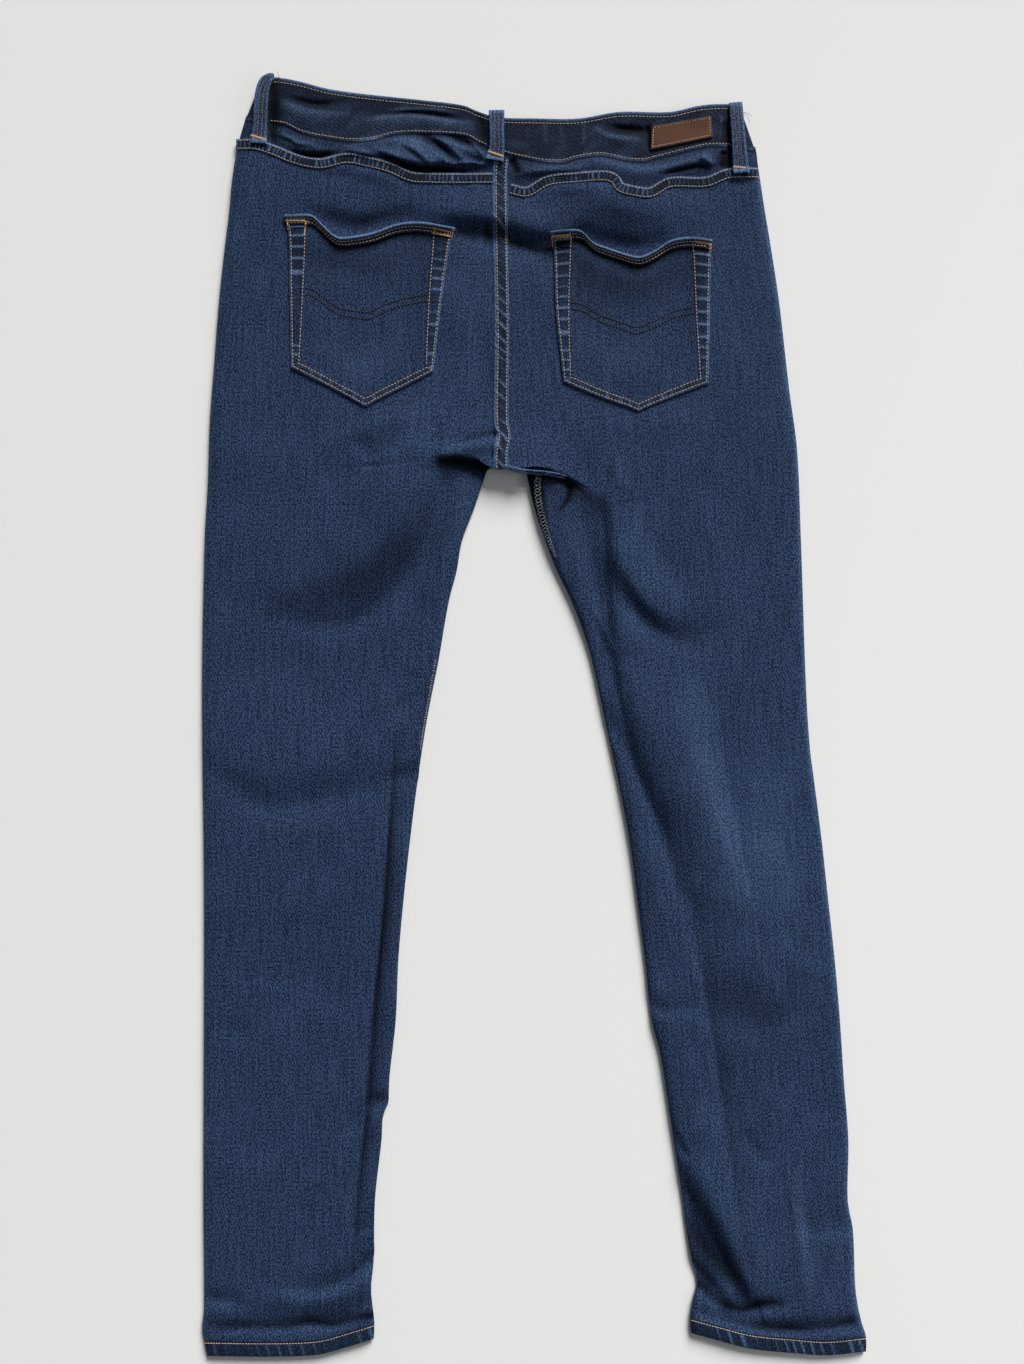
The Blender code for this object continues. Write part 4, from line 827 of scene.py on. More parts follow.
def body_up(across, down):
    """Height of the laid back at any place on the seat or waist, its rounded sides included."""
    across, down = (np.array(a, float) for a in np.broadcast_arrays(across, down))
    shape = across.shape
    across, down = across.ravel(), down.ravel()
    gap = np.minimum(across - smooth_at(LEFT_SIDE, down), smooth_at(RIGHT_SIDE, down) - across)
    up = drooped(across, down, np.maximum(gap, 0), 1.0)
    return (BACK_SEAM + (up - BACK_SEAM) * rounding(gap, ROLL)).reshape(shape)


Tuck = namedtuple("Tuck", "fall forward")

# How the seat turns under at its lip: share of the fall to the leg, and way past the lip
TUCKS = (
    Tuck(0.10, 0.45), Tuck(0.28, 0.85), Tuck(0.50, 0.95), Tuck(0.70, 0.35), Tuck(0.86, -1.6),
    Tuck(0.96, -3.6), Tuck(1.0, -5.0), Tuck(1.0, -3.4), Tuck(1.0, -1.2), Tuck(1.0, 1.0),
)
TUCK_STEP = 0.3
LIP_FULL = 0.8  # where the lip rises this share of its height, it hangs fully
YOKE_LAP = 1.5  # the backs begin this far over the yoke seam
HEM_LAP = 0.5  # and end this far under the hem's upper edge
SEAT_FROM, SEAT_TO = 150.0, 262.0  # plain part of the seat
LEG_FROM, LEG_TO = 385.0, 900.0  # plain part of the leg
TUCK_BACK = 4.0  # the leg's rows begin this far under the lip
HOLLOWS_END = 100.0  # painted shade in the waist's hollows reaches down to here
HOLLOW_PAINTED_SHADE = 0.25
# painted highlight along the seat's lip, where it catches the light
LIP_PAINTED_HIGHLIGHT = 0.16
EDGE_WORN = 0.25
CLEAR_LIP = 30.0  # nothing is painted on the seat this close to the crotch's height


def back_panel(name, side, inseam, hem):
    lip = line_of(SEAT_LIP)
    rows = rows_between(line_of(YOKE_SEAM, -YOKE_LAP), level(SEAT_FROM), 2.6, 0)
    rows += rows_between(level(SEAT_FROM), level(SEAT_TO), 3.0, 0)
    rows += rows_between(level(SEAT_TO), lip, 2.2, 0, with_last=True)
    rows += [Row(lip, tuck.fall, tuck.forward) for tuck in TUCKS]
    rows += rows_between(line_of(SEAT_LIP, TUCK_BACK), level(LEG_FROM), 2.6, 1)
    rows += rows_between(level(LEG_FROM), level(LEG_TO), 3.2, 1)
    rows += rows_between(level(LEG_TO), line_of(hem, HEM_LAP), 2.2, 1, with_last=True)
    across, down, gap, far = panel_grid(rows, side, inseam, BACK_EDGE_STEPS, BACK_STEP)
    leg = np.array([[row.leg] for row in rows])
    forward = np.array([[row.past or 0.0] for row in rows])
    tucked = np.array([[row.past is not None] for row in rows])
    order = np.cumsum(tucked)[:, None] * TUCK_STEP
    seat_up, leg_up = back_height(across, down, 1.0), back_height(across, down, 0.0)
    hang = np.clip((seat_up - leg_up) / (LIP_FULL * LIP_UP), 0, 1)
    past = np.where(tucked, hang * forward + (1 - hang) * order, 0.0)
    edge = np.minimum(gap, np.where(leg > 0, far, np.inf))
    up = seat_up * (1 - leg) + leg_up * leg - DROOP * np.exp(-edge / DROOP_REACH)
    turn = rounding(gap, ROLL) * ((1 - leg) + leg * rounding(far, ROLL))
    outer = place(across, down + past, BACK_SEAM + (up - BACK_SEAM) * turn)
    # Lighter: rubbed side edges and random patches, with painted highlights on lit ridges and along the lip.
    # Darker: painted shade in creases, in hollows and under the lip, none on the seat near the crotch.
    wear = 0.05 * np.clip(ripple(across, down, 26, 5), 0, 1) + EDGE_WORN * bell(gap, 0.8, 1.6)
    wear += fold_sum(PAINTED_HIGHLIGHTS, across, down)
    lip_row = int(np.flatnonzero(tucked)[0]) - 1
    wear += LIP_PAINTED_HIGHLIGHT * hang * bell(np.arange(len(rows)), lip_row, 3.0)[:, None]
    shade = fold_sum(PAINTED_SHADE, across, down)
    waist = down < HOLLOWS_END
    shade[waist] -= HOLLOW_PAINTED_SHADE * fold_sum(HOLLOWS, across[waist], down[waist])
    shade = np.where((leg < 0.5) & (np.abs(down - CROTCH - 1) < CLEAR_LIP), 0.0, shade)
    grain = grain_of(across, down + np.where(tucked, order, 0), side)
    return cloth(name, outer, inside(outer), grain, wear=np.clip(wear, 0, 1), seam=np.clip(shade, 0, 1))


back_left = back_panel("back_left_cloth", LEFT_SIDE, LEFT_INSEAM, LEFT_HEM)
back_right = back_panel("back_right_cloth", RIGHT_SIDE, RIGHT_INSEAM, RIGHT_HEM)
for piece, node, under in ((back_left, "back_left", front_left), (back_right, "back_right", front_right)):
    finish_cloth(piece, denim_body, "denim", node)


# === Hems =========================================================================================
# The turned-up ends of the legs: a double fold of the leg's own denim, a tube all round, held by one
# row of tan stitches that ropes it into slanting ridges.

HEM_THICK = 1.9
HEM_STAND = 0.5  # the hem's face stands proud of the leg's
HEM_ROWS = 12
HEM_STEP = 1.6
HEM_SEWN = 1.6  # its row of stitches runs this far down it
HEM_FOLD = 1.6  # radius of the fold at the leg's end
ROPE_PITCH = 8.2
ROPE_SLANT = 0.32
ROPE_UP = 0.75
HEM_DARK = 0.66


def hem_relief(across, down, top):
    """Narrow slanting ridges between the stitches and the fold, at uneven places."""
    depth = down - top
    lean = across - ROPE_SLANT * depth
    turns = lean / ROPE_PITCH + 0.55 * ripple(lean, 0 * lean, 2.3 * ROPE_PITCH, 11)
    crest = (0.5 + 0.5 * np.sin(math.tau * turns)) ** 3.5
    strength = np.clip(0.55 + 0.75 * ripple(lean, 0 * lean, 3.1 * ROPE_PITCH, 12), 0.05, 1.1)
    groove = 0.45 * bell(depth, HEM_SEWN, 0.7)
    return ROPE_UP * (crest * strength - 0.2) * rounding(np.clip(depth - 1.5, 0, 6), 3.0) - groove


def hem_tube(name, side, inseam, hem):
    """A tube of cloth: over the leg's back from its side to its inseam, and back under its front."""
    outer, inner, grain, ridge, dye = [], [], [], [], []
    for share in np.linspace(0, 1, HEM_ROWS):
        line = line_of(hem, HEM_DEPTH * share)
        start, end, toward = row_ends(side, inseam, line, 1)
        gaps = column_gaps(abs(end - start), BACK_EDGE_STEPS, HEM_STEP)
        over = np.arange(2 * len(gaps) - 2) < len(gaps)
        gaps = np.concatenate([gaps, gaps[-2:0:-1]])
        far = abs(end - start) - gaps
        across = start + toward * gaps
        down = line(across)
        reach = np.where(over, ROLL, CURL)
        turn = rounding(gaps, reach) * rounding(far, reach)
        relief = hem_relief(across, down, smooth_at(hem, across))
        lip = rounding(np.full_like(gaps, (1 - share) * HEM_DEPTH + 0.05), HEM_FOLD)
        top = drooped(across, down, np.minimum(gaps, far)) + HEM_STAND + relief
        top_side = SEAM_UP + (top - SEAM_UP) * turn * (0.75 + 0.25 * lip)
        outer.append(place(across, down, np.where(over, top_side, SEAM_UP * (1 - turn) + 0.35 * (1 - lip))))
        inward = HEM_THICK * (np.clip(1 - gaps / reach, 0, 1) - np.clip(1 - far / reach, 0, 1))
        top_in = SEAM_UP + (top - relief - HEM_THICK - SEAM_UP) * turn
        low_in = HEM_THICK + (SEAM_UP - HEM_THICK) * (1 - turn)
        inner.append(place(across + toward * inward, down, np.where(over, top_in, low_in)))
        grain.append(grain_of(across, down, side))
        ridge.append(np.clip(0.5 * (1 - lip) + 0.06 + 0.9 * np.clip(relief / ROPE_UP, 0, 1), 0, 1))
        dye.append(HEM_DARK * np.clip(1 - 1.2 * ridge[-1], 0, 1))
    return cloth(name, np.array(outer), np.array(inner), np.array(grain), ring=True,
                 wear=np.array(ridge), seam=np.array(dye))


hem_left = hem_tube("hem_left_cloth", LEFT_SIDE, LEFT_INSEAM, LEFT_HEM)
hem_right = hem_tube("hem_right_cloth", RIGHT_SIDE, RIGHT_INSEAM, RIGHT_HEM)
for piece, node in ((hem_left, "hem_left"), (hem_right, "hem_right")):
    finish_cloth(piece, denim_body, "denim", node)


# === Yokes ========================================================================================
# Two shaped strips between the waistband and the seat. The waist is slack here, so they are bunched
# into soft bulges and creases under the band.

YOKE_STEP = 1.6
YOKE_ROWS = 36
YOKE_UNDER_BAND = 3.0  # the yokes go on this far under the band
YOKE_UNDER_SEAM = 2.0  # and this far under the yoke seam
YOKE_DARK = 0.36  # they are coloured darker than the legs
BAND_TOP = (
    Point(-209, 3), Point(-193, 4), Point(-178, 7), Point(-159, 12), Point(-132, 16), Point(-85, 21),
    Point(-54, 25), Point(-43, 29.5), Point(-28, 34), Point(2, 35), Point(35, 35), Point(66, 30),
    Point(105, 30), Point(129, 25), Point(150, 24), Point(159, 26),
)
BAND_BOTTOM = (
    Point(-222, 36), Point(-203, 38.5), Point(-191, 40.2), Point(-179, 46), Point(-159, 50.3),
    Point(-139, 52.6), Point(-122, 51), Point(-107, 47.3), Point(-91, 46.5), Point(-52, 48.8),
    Point(-42, 54), Point(-24, 61.5), Point(5, 68), Point(22, 68.8), Point(33, 65.8), Point(52, 63.4),
    Point(72, 67.2), Point(84, 68), Point(94, 65.8), Point(113, 61.2), Point(133, 56.6), Point(148, 56.4),
    Point(171, 60),
)


def yoke(name, side):
    top, foot = line_of(BAND_BOTTOM, -YOKE_UNDER_BAND), line_of(YOKE_SEAM, YOKE_UNDER_SEAM)
    rows = [Row(lambda x, t=t: top(x) * (1 - t) + foot(x) * t, 0) for t in np.linspace(0, 1, YOKE_ROWS)]
    across, down = list(panel_grid(rows, side, None, BACK_EDGE_STEPS, YOKE_STEP))[:2]
    outer = place(across, down, body_up(across, down))
    # Crests of the yokes' folds are painted lighter, partly as rubbed wear and partly as painted highlight.
    wear = np.clip(0.14 * (fold_sum(WAIST_FOLDS, across, down) - 1.0), 0, 0.5)
    # A painted shadow under the band's lower edge, and painted shade in the hollows, over a darker base.
    band_shadow = bell(down - smooth_at(BAND_BOTTOM, across), 0.6, 1.1)
    dark = np.clip(YOKE_DARK + 0.7 * band_shadow - 0.36 * fold_sum(HOLLOWS, across, down), 0, 1)
    return cloth(name, outer, inside(outer), grain_of(across, down, side), wear=wear, seam=dark)


yoke_left = yoke("yoke_left_cloth", LEFT_SIDE)
yoke_right = yoke("yoke_right_cloth", RIGHT_SIDE)
for piece, node, back in ((yoke_left, "yoke_left", back_left), (yoke_right, "yoke_right", back_right)):
    finish_cloth(piece, denim_body, "denim", node)


# === Waistband ====================================================================================
# One doubled strip of the darkest denim right round the waist. It lies on itself, folded at both
# sides, with its ends lapped over the button at the centre front.

BAND_THICK = 2.0
BAND_STAND = 0.8  # its face stands above the yoke's
OVERLAP = 18.0
BAND_ROWS = 30
FOLD_ANGLES = np.radians((-72, -54, -36, -18, 0, 18, 36, 54, 72))
BAND_FOLD = 1.5  # radius of its upper and lower folds
BAND_STEPS = 270  # columns on the back
BAND_END = 46.0  # past the lap, its columns go on this far from the centre
denim_band = denim(
    "denim_band", (0.0024, 0.0042, 0.0112), (0.0106, 0.0183, 0.0410), (0.070, 0.118, 0.225), 0.9)


def band_up(across, down):
    """Face of the band at the back of the waist."""
    return body_up(across, down) + BAND_STAND


def lengths(points):
    """How far along a line each of its points lies."""
    return np.concatenate([[0], np.cumsum(np.linalg.norm(np.diff(points, axis=0), axis=1))])


def waistband():
    outer, inner, grain, wear, dark = [], [], [], [], []
    for share in np.linspace(0, 1, BAND_ROWS):
        left, right = (BAND_TOP[k].across * (1 - share) + BAND_BOTTOM[k].across * share for k in (0, -1))
        edge = BAND_DEPTH * min(share, 1 - share)
        soft = 0.7 * (1 - float(rounding(np.array(edge), BAND_FOLD)))

        def on_back(x):
            return smooth_at(BAND_TOP, x) * (1 - share) + smooth_at(BAND_BOTTOM, x) * share

        def on_front(x):
            return smooth_at(FRONT_BAND_TOP, x) * (1 - share) + smooth_at(FRONT_BAND_BOTTOM, x) * share

        def under(x, lift=0.0):
            down = on_front(x)
            up = lift + button_lift(x, down)
            return place(x, down, up + soft), place(x, down, up + BAND_THICK)

        def turn(edge_x, toward, angles):
            height = body_up(edge_x + toward * ROLL, on_back(edge_x)) + BAND_STAND - SEAM_UP
            c, s = np.cos(angles), np.sin(angles)
            x = edge_x + toward * ROLL * (1 - c)
            x_in = edge_x + toward * (ROLL - (ROLL - BAND_THICK) * c)
            down = np.where(angles > 0, on_back(x), on_front(x))
            reach = np.where(angles > 0, height - soft, SEAM_UP)
            return place(x, down, SEAM_UP + reach * s), place(x_in, down, SEAM_UP + (reach - BAND_THICK) * s)

        def over(x):
            down = on_back(x)
            up = band_up(x, down)
            return place(x, down, up - soft), place(x, down, up - BAND_THICK)

        back = np.linspace(left + ROLL, right - ROLL, BAND_STEPS)
        runs = [
            under(np.array([CENTRE + OVERLAP, CENTRE, CENTRE - OVERLAP - 2]), BAND_THICK + 0.3),
            under(np.linspace(CENTRE - BAND_END, left + ROLL, 24)), turn(left, 1, FOLD_ANGLES),
            over(back), turn(right, -1, FOLD_ANGLES[::-1]),
            under(np.linspace(right - ROLL, CENTRE - OVERLAP, 28)),
        ]
        outer.append(np.concatenate([run[0] for run in runs]))
        inner.append(np.concatenate([run[1] for run in runs]))
        length = lengths(outer[-1])
        grain.append(np.stack([np.full_like(length, share * BAND_DEPTH * MM), length], axis=1))
        first = sum(len(run[0]) for run in runs[:3])
        # Crests of the band's folds are painted lighter, partly as rubbed wear and partly as painted
        # highlight, over random rubbed patches; its hollows get painted shade.
        rub_and_highlight, hollow_shade = np.zeros(len(length)), np.zeros(len(length))
        on = slice(first, first + BAND_STEPS)
        rub_and_highlight[on] = 0.15 * np.clip(fold_sum(WAIST_FOLDS, back, on_back(back)), 0, 3)
        hollow_shade[on] = -0.45 * fold_sum(HOLLOWS, back, on_back(back))
        rub_and_highlight += 0.12 * np.clip(ripple(length / MM, 0 * length + 40 * share, 9, 31), 0, 1)
        wear.append(np.clip(rub_and_highlight + 0.95 * bell(edge, 0, 1.3), 0, 1))
        dark.append(np.clip(hollow_shade, 0, 1))
    return cloth("waistband_cloth", np.array(outer), np.array(inner), np.array(grain), wear=np.array(wear),
                 seam=np.array(dark))


band = waistband()
finish_cloth(band, denim_band, "band_denim", "waistband")


# === Felled seams =================================================================================
# The yoke seams and the centre back seam are flat-felled: the edges of the cloth are folded into each
# other and sewn down with two rows, so a raised band runs along them, puckered between its rows.

Felled = namedtuple("Felled", "name line left right rows pitch")

FELLED_UP = 1.0
PUCKER_PITCH = 8.8
PUCKER_UP = 0.5
SEAM_SLANT = 0.9
STITCH_GROOVE = 0.35
SEAM_STAND = 0.15  # the seams lie this far over the backs
FELLED_THICK = 0.9
FELLED_ROWS = 15
FELLED_STEP = 0.8
CLOSE_PITCH = 5.0  # ridges closer together than this are broad
WIDE_PITCH = 9.0  # and ridges wider apart than this slant
SEAMS = (
    Felled("yoke_seam_left", tuple(YOKE_SEAM[:13]), 4.2, 4.0, (-3.0, 3.0), 3.5),
    Felled("yoke_seam_right", tuple(YOKE_SEAM[13:]), 4.2, 4.0, (-3.0, 3.0), 3.5),
    Felled("centre_seam",
           ((-24, 66), (-25, 80), (-24.5, 130), (-23.5, 200), (-24, 268), (-22.3, 280), (-24.2, 291),
            (-24.6, 304)), 4.8, 6.8, (-3.2, 3.7), 9.6),
    Felled("crotch_edge", ((-19, 304), (-11, 306), (0, 307.4), (12, 308.4), (25, 311.5)), 1.7, 1.7, (), 9.6),
)
SEAM_SEED = 20
denim_seam = denim(
    "denim_seam", (0.0055, 0.0100, 0.0240), (0.0370, 0.0620, 0.1250), (0.095, 0.165, 0.310), 0.72)


def split(points):
    """Across and down of points."""
    return points[..., 0], points[..., 1]


def beside(path, offset):
    """A path moved to the right of somebody who walks along it."""
    way = np.gradient(path, axis=0)
    way /= np.linalg.norm(way, axis=1, keepdims=True)
    return path + offset * np.stack([-way[:, 1], way[:, 0]], axis=1)


def pucker(along, offset, edge, pitch, seed):
    """Narrow uneven ridges across a sewn strip, a pitch apart, with wide hollows between them."""
    lean = SEAM_SLANT * offset if pitch > WIDE_PITCH else 0.0
    turns = (along + lean) / pitch + 0.42 * ripple(along, 0 * along, 2.1 * pitch, seed)
    crest = (0.5 + 0.5 * np.sin(math.tau * turns)) ** (1.8 if pitch < CLOSE_PITCH else 4.5)
    strength = np.clip(0.7 + 0.5 * ripple(along, offset * 0.2, 1.7 * pitch, seed + 1), 0.2, 0.95)
    return PUCKER_UP * (crest * strength - 0.25) * rounding(edge, 2.5)


def felled_relief(along, offset, seam, seed):
    """Height of a felled seam over the cloth that it lies on, at an offset from its middle."""
    offset = np.full(len(along), offset)
    edge = np.minimum(offset + seam.left, seam.right - offset)
    groove = sum(bell(offset, row, 0.55) for row in seam.rows)
    ridges = pucker(along, offset, edge, seam.pitch, seed) * (1 - 0.5 * groove)
    return FELLED_UP * rounding(edge, 1.0) - STITCH_GROOVE * groove + ridges


def felled_seam(seam, seed):
    path = curve_through(seam.line, FELLED_STEP)
    along = np.arange(len(path)) * FELLED_STEP
    close = seam.pitch < CLOSE_PITCH
    outer, wear, dark, grain = [], [], [], []
    for offset in np.linspace(-seam.left, seam.right, FELLED_ROWS):
        line = beside(path, offset)
        relief = felled_relief(along, offset, seam, seed)
        outer.append(place(*split(line), body_up(*split(line)) + SEAM_STAND + relief))
        edge = min(offset + seam.left, seam.right - offset)
        ridge = np.clip(relief - FELLED_UP, -1, 1) / PUCKER_UP
        rim = 0.7 if seam.name == "centre_seam" and offset > seam.rows[-1] + 0.6 else 0.0
        wear.append(np.clip(0.8 * bell(edge, 0, 0.9) + rim + 1.1 * np.clip(ridge, 0, 1), 0, 1))
        # painted shade in the hollows between the puckers' ridges
        pucker_shade = np.clip((0.85 if close else 0.5) - 1.3 * ridge, 0, 1)
        dark.append(pucker_shade * np.clip(edge - 0.8, 0, 1) * (1.0 if close else 0.7))
        grain.append(line * MM)
    outer = np.array(outer)
    inner = outer.copy()
    inner[1:-1, :, 2] -= FELLED_THICK * MM
    inner[[0, -1], :, 2] -= 0.5 * MM
    return cloth(seam.name, outer, inner, np.array(grain), wear=np.array(wear), seam=np.array(dark))


for number, seam in enumerate(SEAMS):
    finish_cloth(felled_seam(seam, SEAM_SEED + 3 * number), denim_seam, "denim")


# === Back pockets =================================================================================
# Patch pockets with a turned hem at the mouth and turned edges, sewn on with two rows. The mouths sag
# open, so their rolled edges stand off the seat.

Patch = namedtuple("Patch", "name node mouth left bottom right gape seed")

POCKET_LIFT = 0.35
POCKET_THICK = 1.1
THINNEST = 0.3  # no cloth is thinner than this at its edges
POCKET_TALL = 118.0  # at its sides; the point at its middle adds to this
POCKET_POINT = 16.0
FOOT_SLOPE = 0.89  # cosine of the foot's slope
MOUTH_HEM = 8.2  # depth of the turned mouth
MOUTH_ROWS = (4.0, 6.6)
DESIGN_ROWS = (0.46, 0.50)  # shares of the way down where two plain navy rows cross each pocket
ROLL_WIDE = 3.0  # the rolled rim of the mouth
ROLL_UP = 1.3
SEWN_IN = 1.8  # the outer row's distance from the edge
FOOT_STRIP = 5.6  # the inner row's distance from the foot, and from the sides at heights down them
SIDE_STRIP = ((0.0, 15.0), (0.12, 12.8), (0.3, 11.4), (0.5, 10.0), (0.75, 8.0), (1.0, 5.8))
GAPE_DEEP = 5.6  # the mouth's gaping dies away over this depth
POCKETS = (
    Patch("pocket_left_cloth", "pocket_left",
          ((-192, 109), (-180, 108.5), (-171, 109), (-163, 116), (-155, 123.5), (-149, 126.3), (-136, 125),
           (-122, 122), (-107, 116.5), (-95, 114.5), (-82, 115), (-71, 117), (-60, 119)),
          ((-192, 109), (-189, 123), (-188, 170), (-187, 227)),
          ((-187, 227), (-158, 241.5), (-136, 253.4), (-132, 256), (-129.4, 256.8), (-126.6, 255.8),
           (-122, 253), (-104, 244), (-77, 230)),
          ((-60, 119), (-64, 131), (-71, 179), (-77, 230)), 3.0, 40),
    Patch("pocket_right_cloth", "pocket_right",
          ((12, 122), (24, 120.5), (36, 121), (46, 130), (56, 134), (65, 137), (81, 141), (93, 136.5),
           (105, 129), (115, 126.5), (125, 126.3), (138, 128)),
          ((12, 122), (15, 131), (17, 182), (23, 238)),
          ((23, 238), (52, 250), (74, 257.6), (78.5, 259.6), (81.2, 260.6), (84, 259.4), (88, 257.4),
           (108, 249.4), (135, 239)),
          ((138, 128), (137, 138), (136, 182), (135, 239)), 3.4, 50),
)


def sampled(points, shares):
    """A smooth curve through points, at shares of its length."""
    curve = curve_through(points, 0.5)
    where = np.linspace(0, 1, len(curve))
    return np.stack([np.interp(shares, where, curve[:, k]) for k in (0, 1)], axis=-1)


def pocket_place(patch, u, v):
    """Across and down of a place on a pocket: u from its left to its right edge, v from its mouth down."""
    top, bottom = sampled(patch.mouth, u), sampled(patch.bottom, u)
    left, right = sampled(patch.left, v), sampled(patch.right, v)
    corners = [np.array(c, float) for c in (patch.left[0], patch.right[0], patch.left[-1], patch.right[-1])]
    u, v = u[..., None], v[..., None]
    flat = (corners[0] * (1 - u) * (1 - v) + corners[1] * u * (1 - v)
            + corners[2] * (1 - u) * v + corners[3] * u * v)
    return top * (1 - v) + bottom * v + left * (1 - u) + right * u - flat


def pocket_wide(patch, v):
    """Width of a pocket at v."""
    top, foot = patch.right[0][0] - patch.left[0][0], patch.right[-1][0] - patch.left[-1][0]
    return np.abs(top) * (1 - v) + np.abs(foot) * v


def pocket_tall(u):
    """Height of a pocket at u."""
    return POCKET_TALL + POCKET_POINT * np.sin(np.pi * np.clip(u, 0, 1))


def pocket_edges(patch, u, v):
    """How far a place lies from a pocket's nearer side, its foot and its mouth."""
    tall = pocket_tall(u)
    return np.minimum(u, 1 - u) * pocket_wide(patch, v), (1 - v) * tall * FOOT_SLOPE, v * tall


def mouth_gape(patch, u, drop):
    """How far a pocket's mouth stands off the seat."""
    return patch.gape * np.sin(np.pi * np.clip(u, 0, 1)) ** 0.7 * bell(drop, 0, GAPE_DEEP)


def dents(distances, at, width):
    """Grooves at each of the given distances."""
    return sum(bell(distances, row, width) for row in at)


def pocket_relief(patch, u, v):
    """Relief of a pocket over its own flat face, with its masks."""
    side, foot, drop = pocket_edges(patch, u, v)
    strip = smooth_at(SIDE_STRIP, v)
    edge = np.minimum(side, foot)
    within = np.maximum(1 - ease((side - strip - 0.6) / 1.2), 1 - ease((foot - FOOT_STRIP - 0.6) / 1.2))
    on_side = side / strip < foot / FOOT_STRIP
    run = np.where(on_side, drop + 400 * (u > 0.5), u * 126 + 800)
    depth = np.where(on_side, np.minimum(side, strip - side), np.minimum(foot, FOOT_STRIP - foot))
    ridge = pucker(run, 0 * run, np.clip(depth, 0, 3), PUCKER_PITCH, patch.seed) * np.where(on_side, 1.0, 0.4)
    ridge_share = ridge / PUCKER_UP
    grooves = dents(side, (SEWN_IN,), 0.6) + dents(side - strip, (0,), 0.7) + dents(foot, (SEWN_IN,), 0.6)
    grooves = np.minimum(grooves + dents(foot - FOOT_STRIP, (0,), 0.7), 1.0)
    sway = np.sin(np.pi * np.clip(u, 0, 1))
    sag = -1.1 * sway * bell(drop, 13, 6)
    roll = ROLL_UP * np.sqrt(np.clip(1 - ((drop - ROLL_WIDE / 2) / (ROLL_WIDE / 2)) ** 2, 0, 1))
    hem = 0.8 * (1 - ease(drop - MOUTH_HEM))
    mouth_groove = 0.35 * (dents(drop, (ROLL_WIDE,), 0.5) + dents(drop, MOUTH_ROWS, 0.6))
    rim = 0.8 * (1 - rounding(np.minimum(edge, 1.2), 1.2))
    relief = (0.5 * within + ridge + mouth_gape(patch, u, drop) + sag + hem + roll - 0.3 * grooves
              - mouth_groove - rim)
    wear = 0.8 * bell(edge, 0, 0.9) + (drop < ROLL_WIDE) + 1.5 * np.clip(ridge_share, 0, 1)
    # Darker: painted shade in the sewn strips, under the mouth's hem, beside the mouth's rows and below the
    # sagging mouth, and a darker line under each navy design row.
    dark = 0.36 * within * (edge > 1.0) + 0.24 * bell(drop, 10, 30) * (drop > MOUTH_HEM)
    dark = dark + 0.95 * bell(drop - MOUTH_HEM, 1.3, 2.0) * (0.3 + 0.7 * sway)
    dark = dark + 0.5 * dents(drop, (3.1, 5.3), 0.7)
    dark = dark + 0.45 * dents(v, DESIGN_ROWS, 0.007) * (np.abs(u - 0.5) < 0.4)
    return relief, np.clip(wear, 0, 1), np.clip(dark - 1.6 * np.clip(ridge_share, 0, 0.5), 0, 1)


# Painted shade on the pockets' faces, and their more faded places
POCKET_SHADES = (
    Fold("left_top", ((-178, 133), (-150, 143), (-118, 136)), (0.2, 0.22, 0.1), 8, 12),
    Fold("left_side", ((-84, 140), (-88, 180), (-90, 215)), (0.1, 0.2, 0.1), 8, 8),
    Fold("right_top", ((34, 138), (46, 158), (74, 166), (112, 152)), (0.3, 0.4, 0.25, 0.15), 14, 18),
    Fold("right_side", ((122, 140), (124, 180), (122, 214)), (0.15, 0.2, 0.1), 9, 9),
    Fold("right_foot", ((60, 238), (82, 246), (104, 238)), 0.12, 9, 9),
)
POCKET_FADES = (
    Fold("left_low", ((-150, 212), (-130, 226), (-110, 214)), (0.05, 0.1, 0.05), 13, 13),
    Fold("left_high", ((-160, 156), (-140, 160), (-126, 168)), (0.06, 0.1, 0.04), 6, 6),
    Fold("right_low", ((44, 210), (66, 220), (88, 214)), (0.04, 0.07, 0.03), 12, 12),
)


def pocket_up(patch, u, v):
    """Where a place on a pocket lies, and the height of its face there."""
    at = pocket_place(patch, u, v)
    return at, body_up(*split(at)) + POCKET_LIFT + POCKET_THICK + pocket_relief(patch, u, v)[0]


POCKET_COLUMNS = np.linspace(0, 1, 150)
POCKET_ROWS = np.concatenate([np.linspace(0, 0.1, 28)[:-1], np.linspace(0.1, 1, 130)])
denim_pocket = denim("denim_pocket", WARP, WEFT, (0.090, 0.155, 0.290), 0.9)
for patch in POCKETS:
    u, v = np.meshgrid(POCKET_COLUMNS, POCKET_ROWS)
    at, up = pocket_up(patch, u, v)
    wear, dark = pocket_relief(patch, u, v)[1:]
    wear = np.clip(wear + fold_sum(POCKET_FADES, *split(at)), 0, 1)
    dark = np.clip(dark + fold_sum(POCKET_SHADES, *split(at)), 0, 1)
    outer = place(*split(at), up)
    inner = outer.copy()
    gape = mouth_gape(patch, u, v * pocket_tall(u))
    under = (body_up(*split(at)) + POCKET_LIFT + 0.8 * gape) * MM
    inner[..., 2] = np.minimum(under, outer[..., 2] - THINNEST * MM)
    piece = cloth(patch.name, outer, inner, at * MM, wear=wear, seam=dark)
    finish_cloth(piece, denim_pocket, "denim", patch.node)


# === Belt loops ===================================================================================
# Narrow folded strips of band denim over the waistband, tacked at the top edge and again on the yoke,
# with two rows of stitches down each.

Loop = namedtuple("Loop", "name node line width bow")

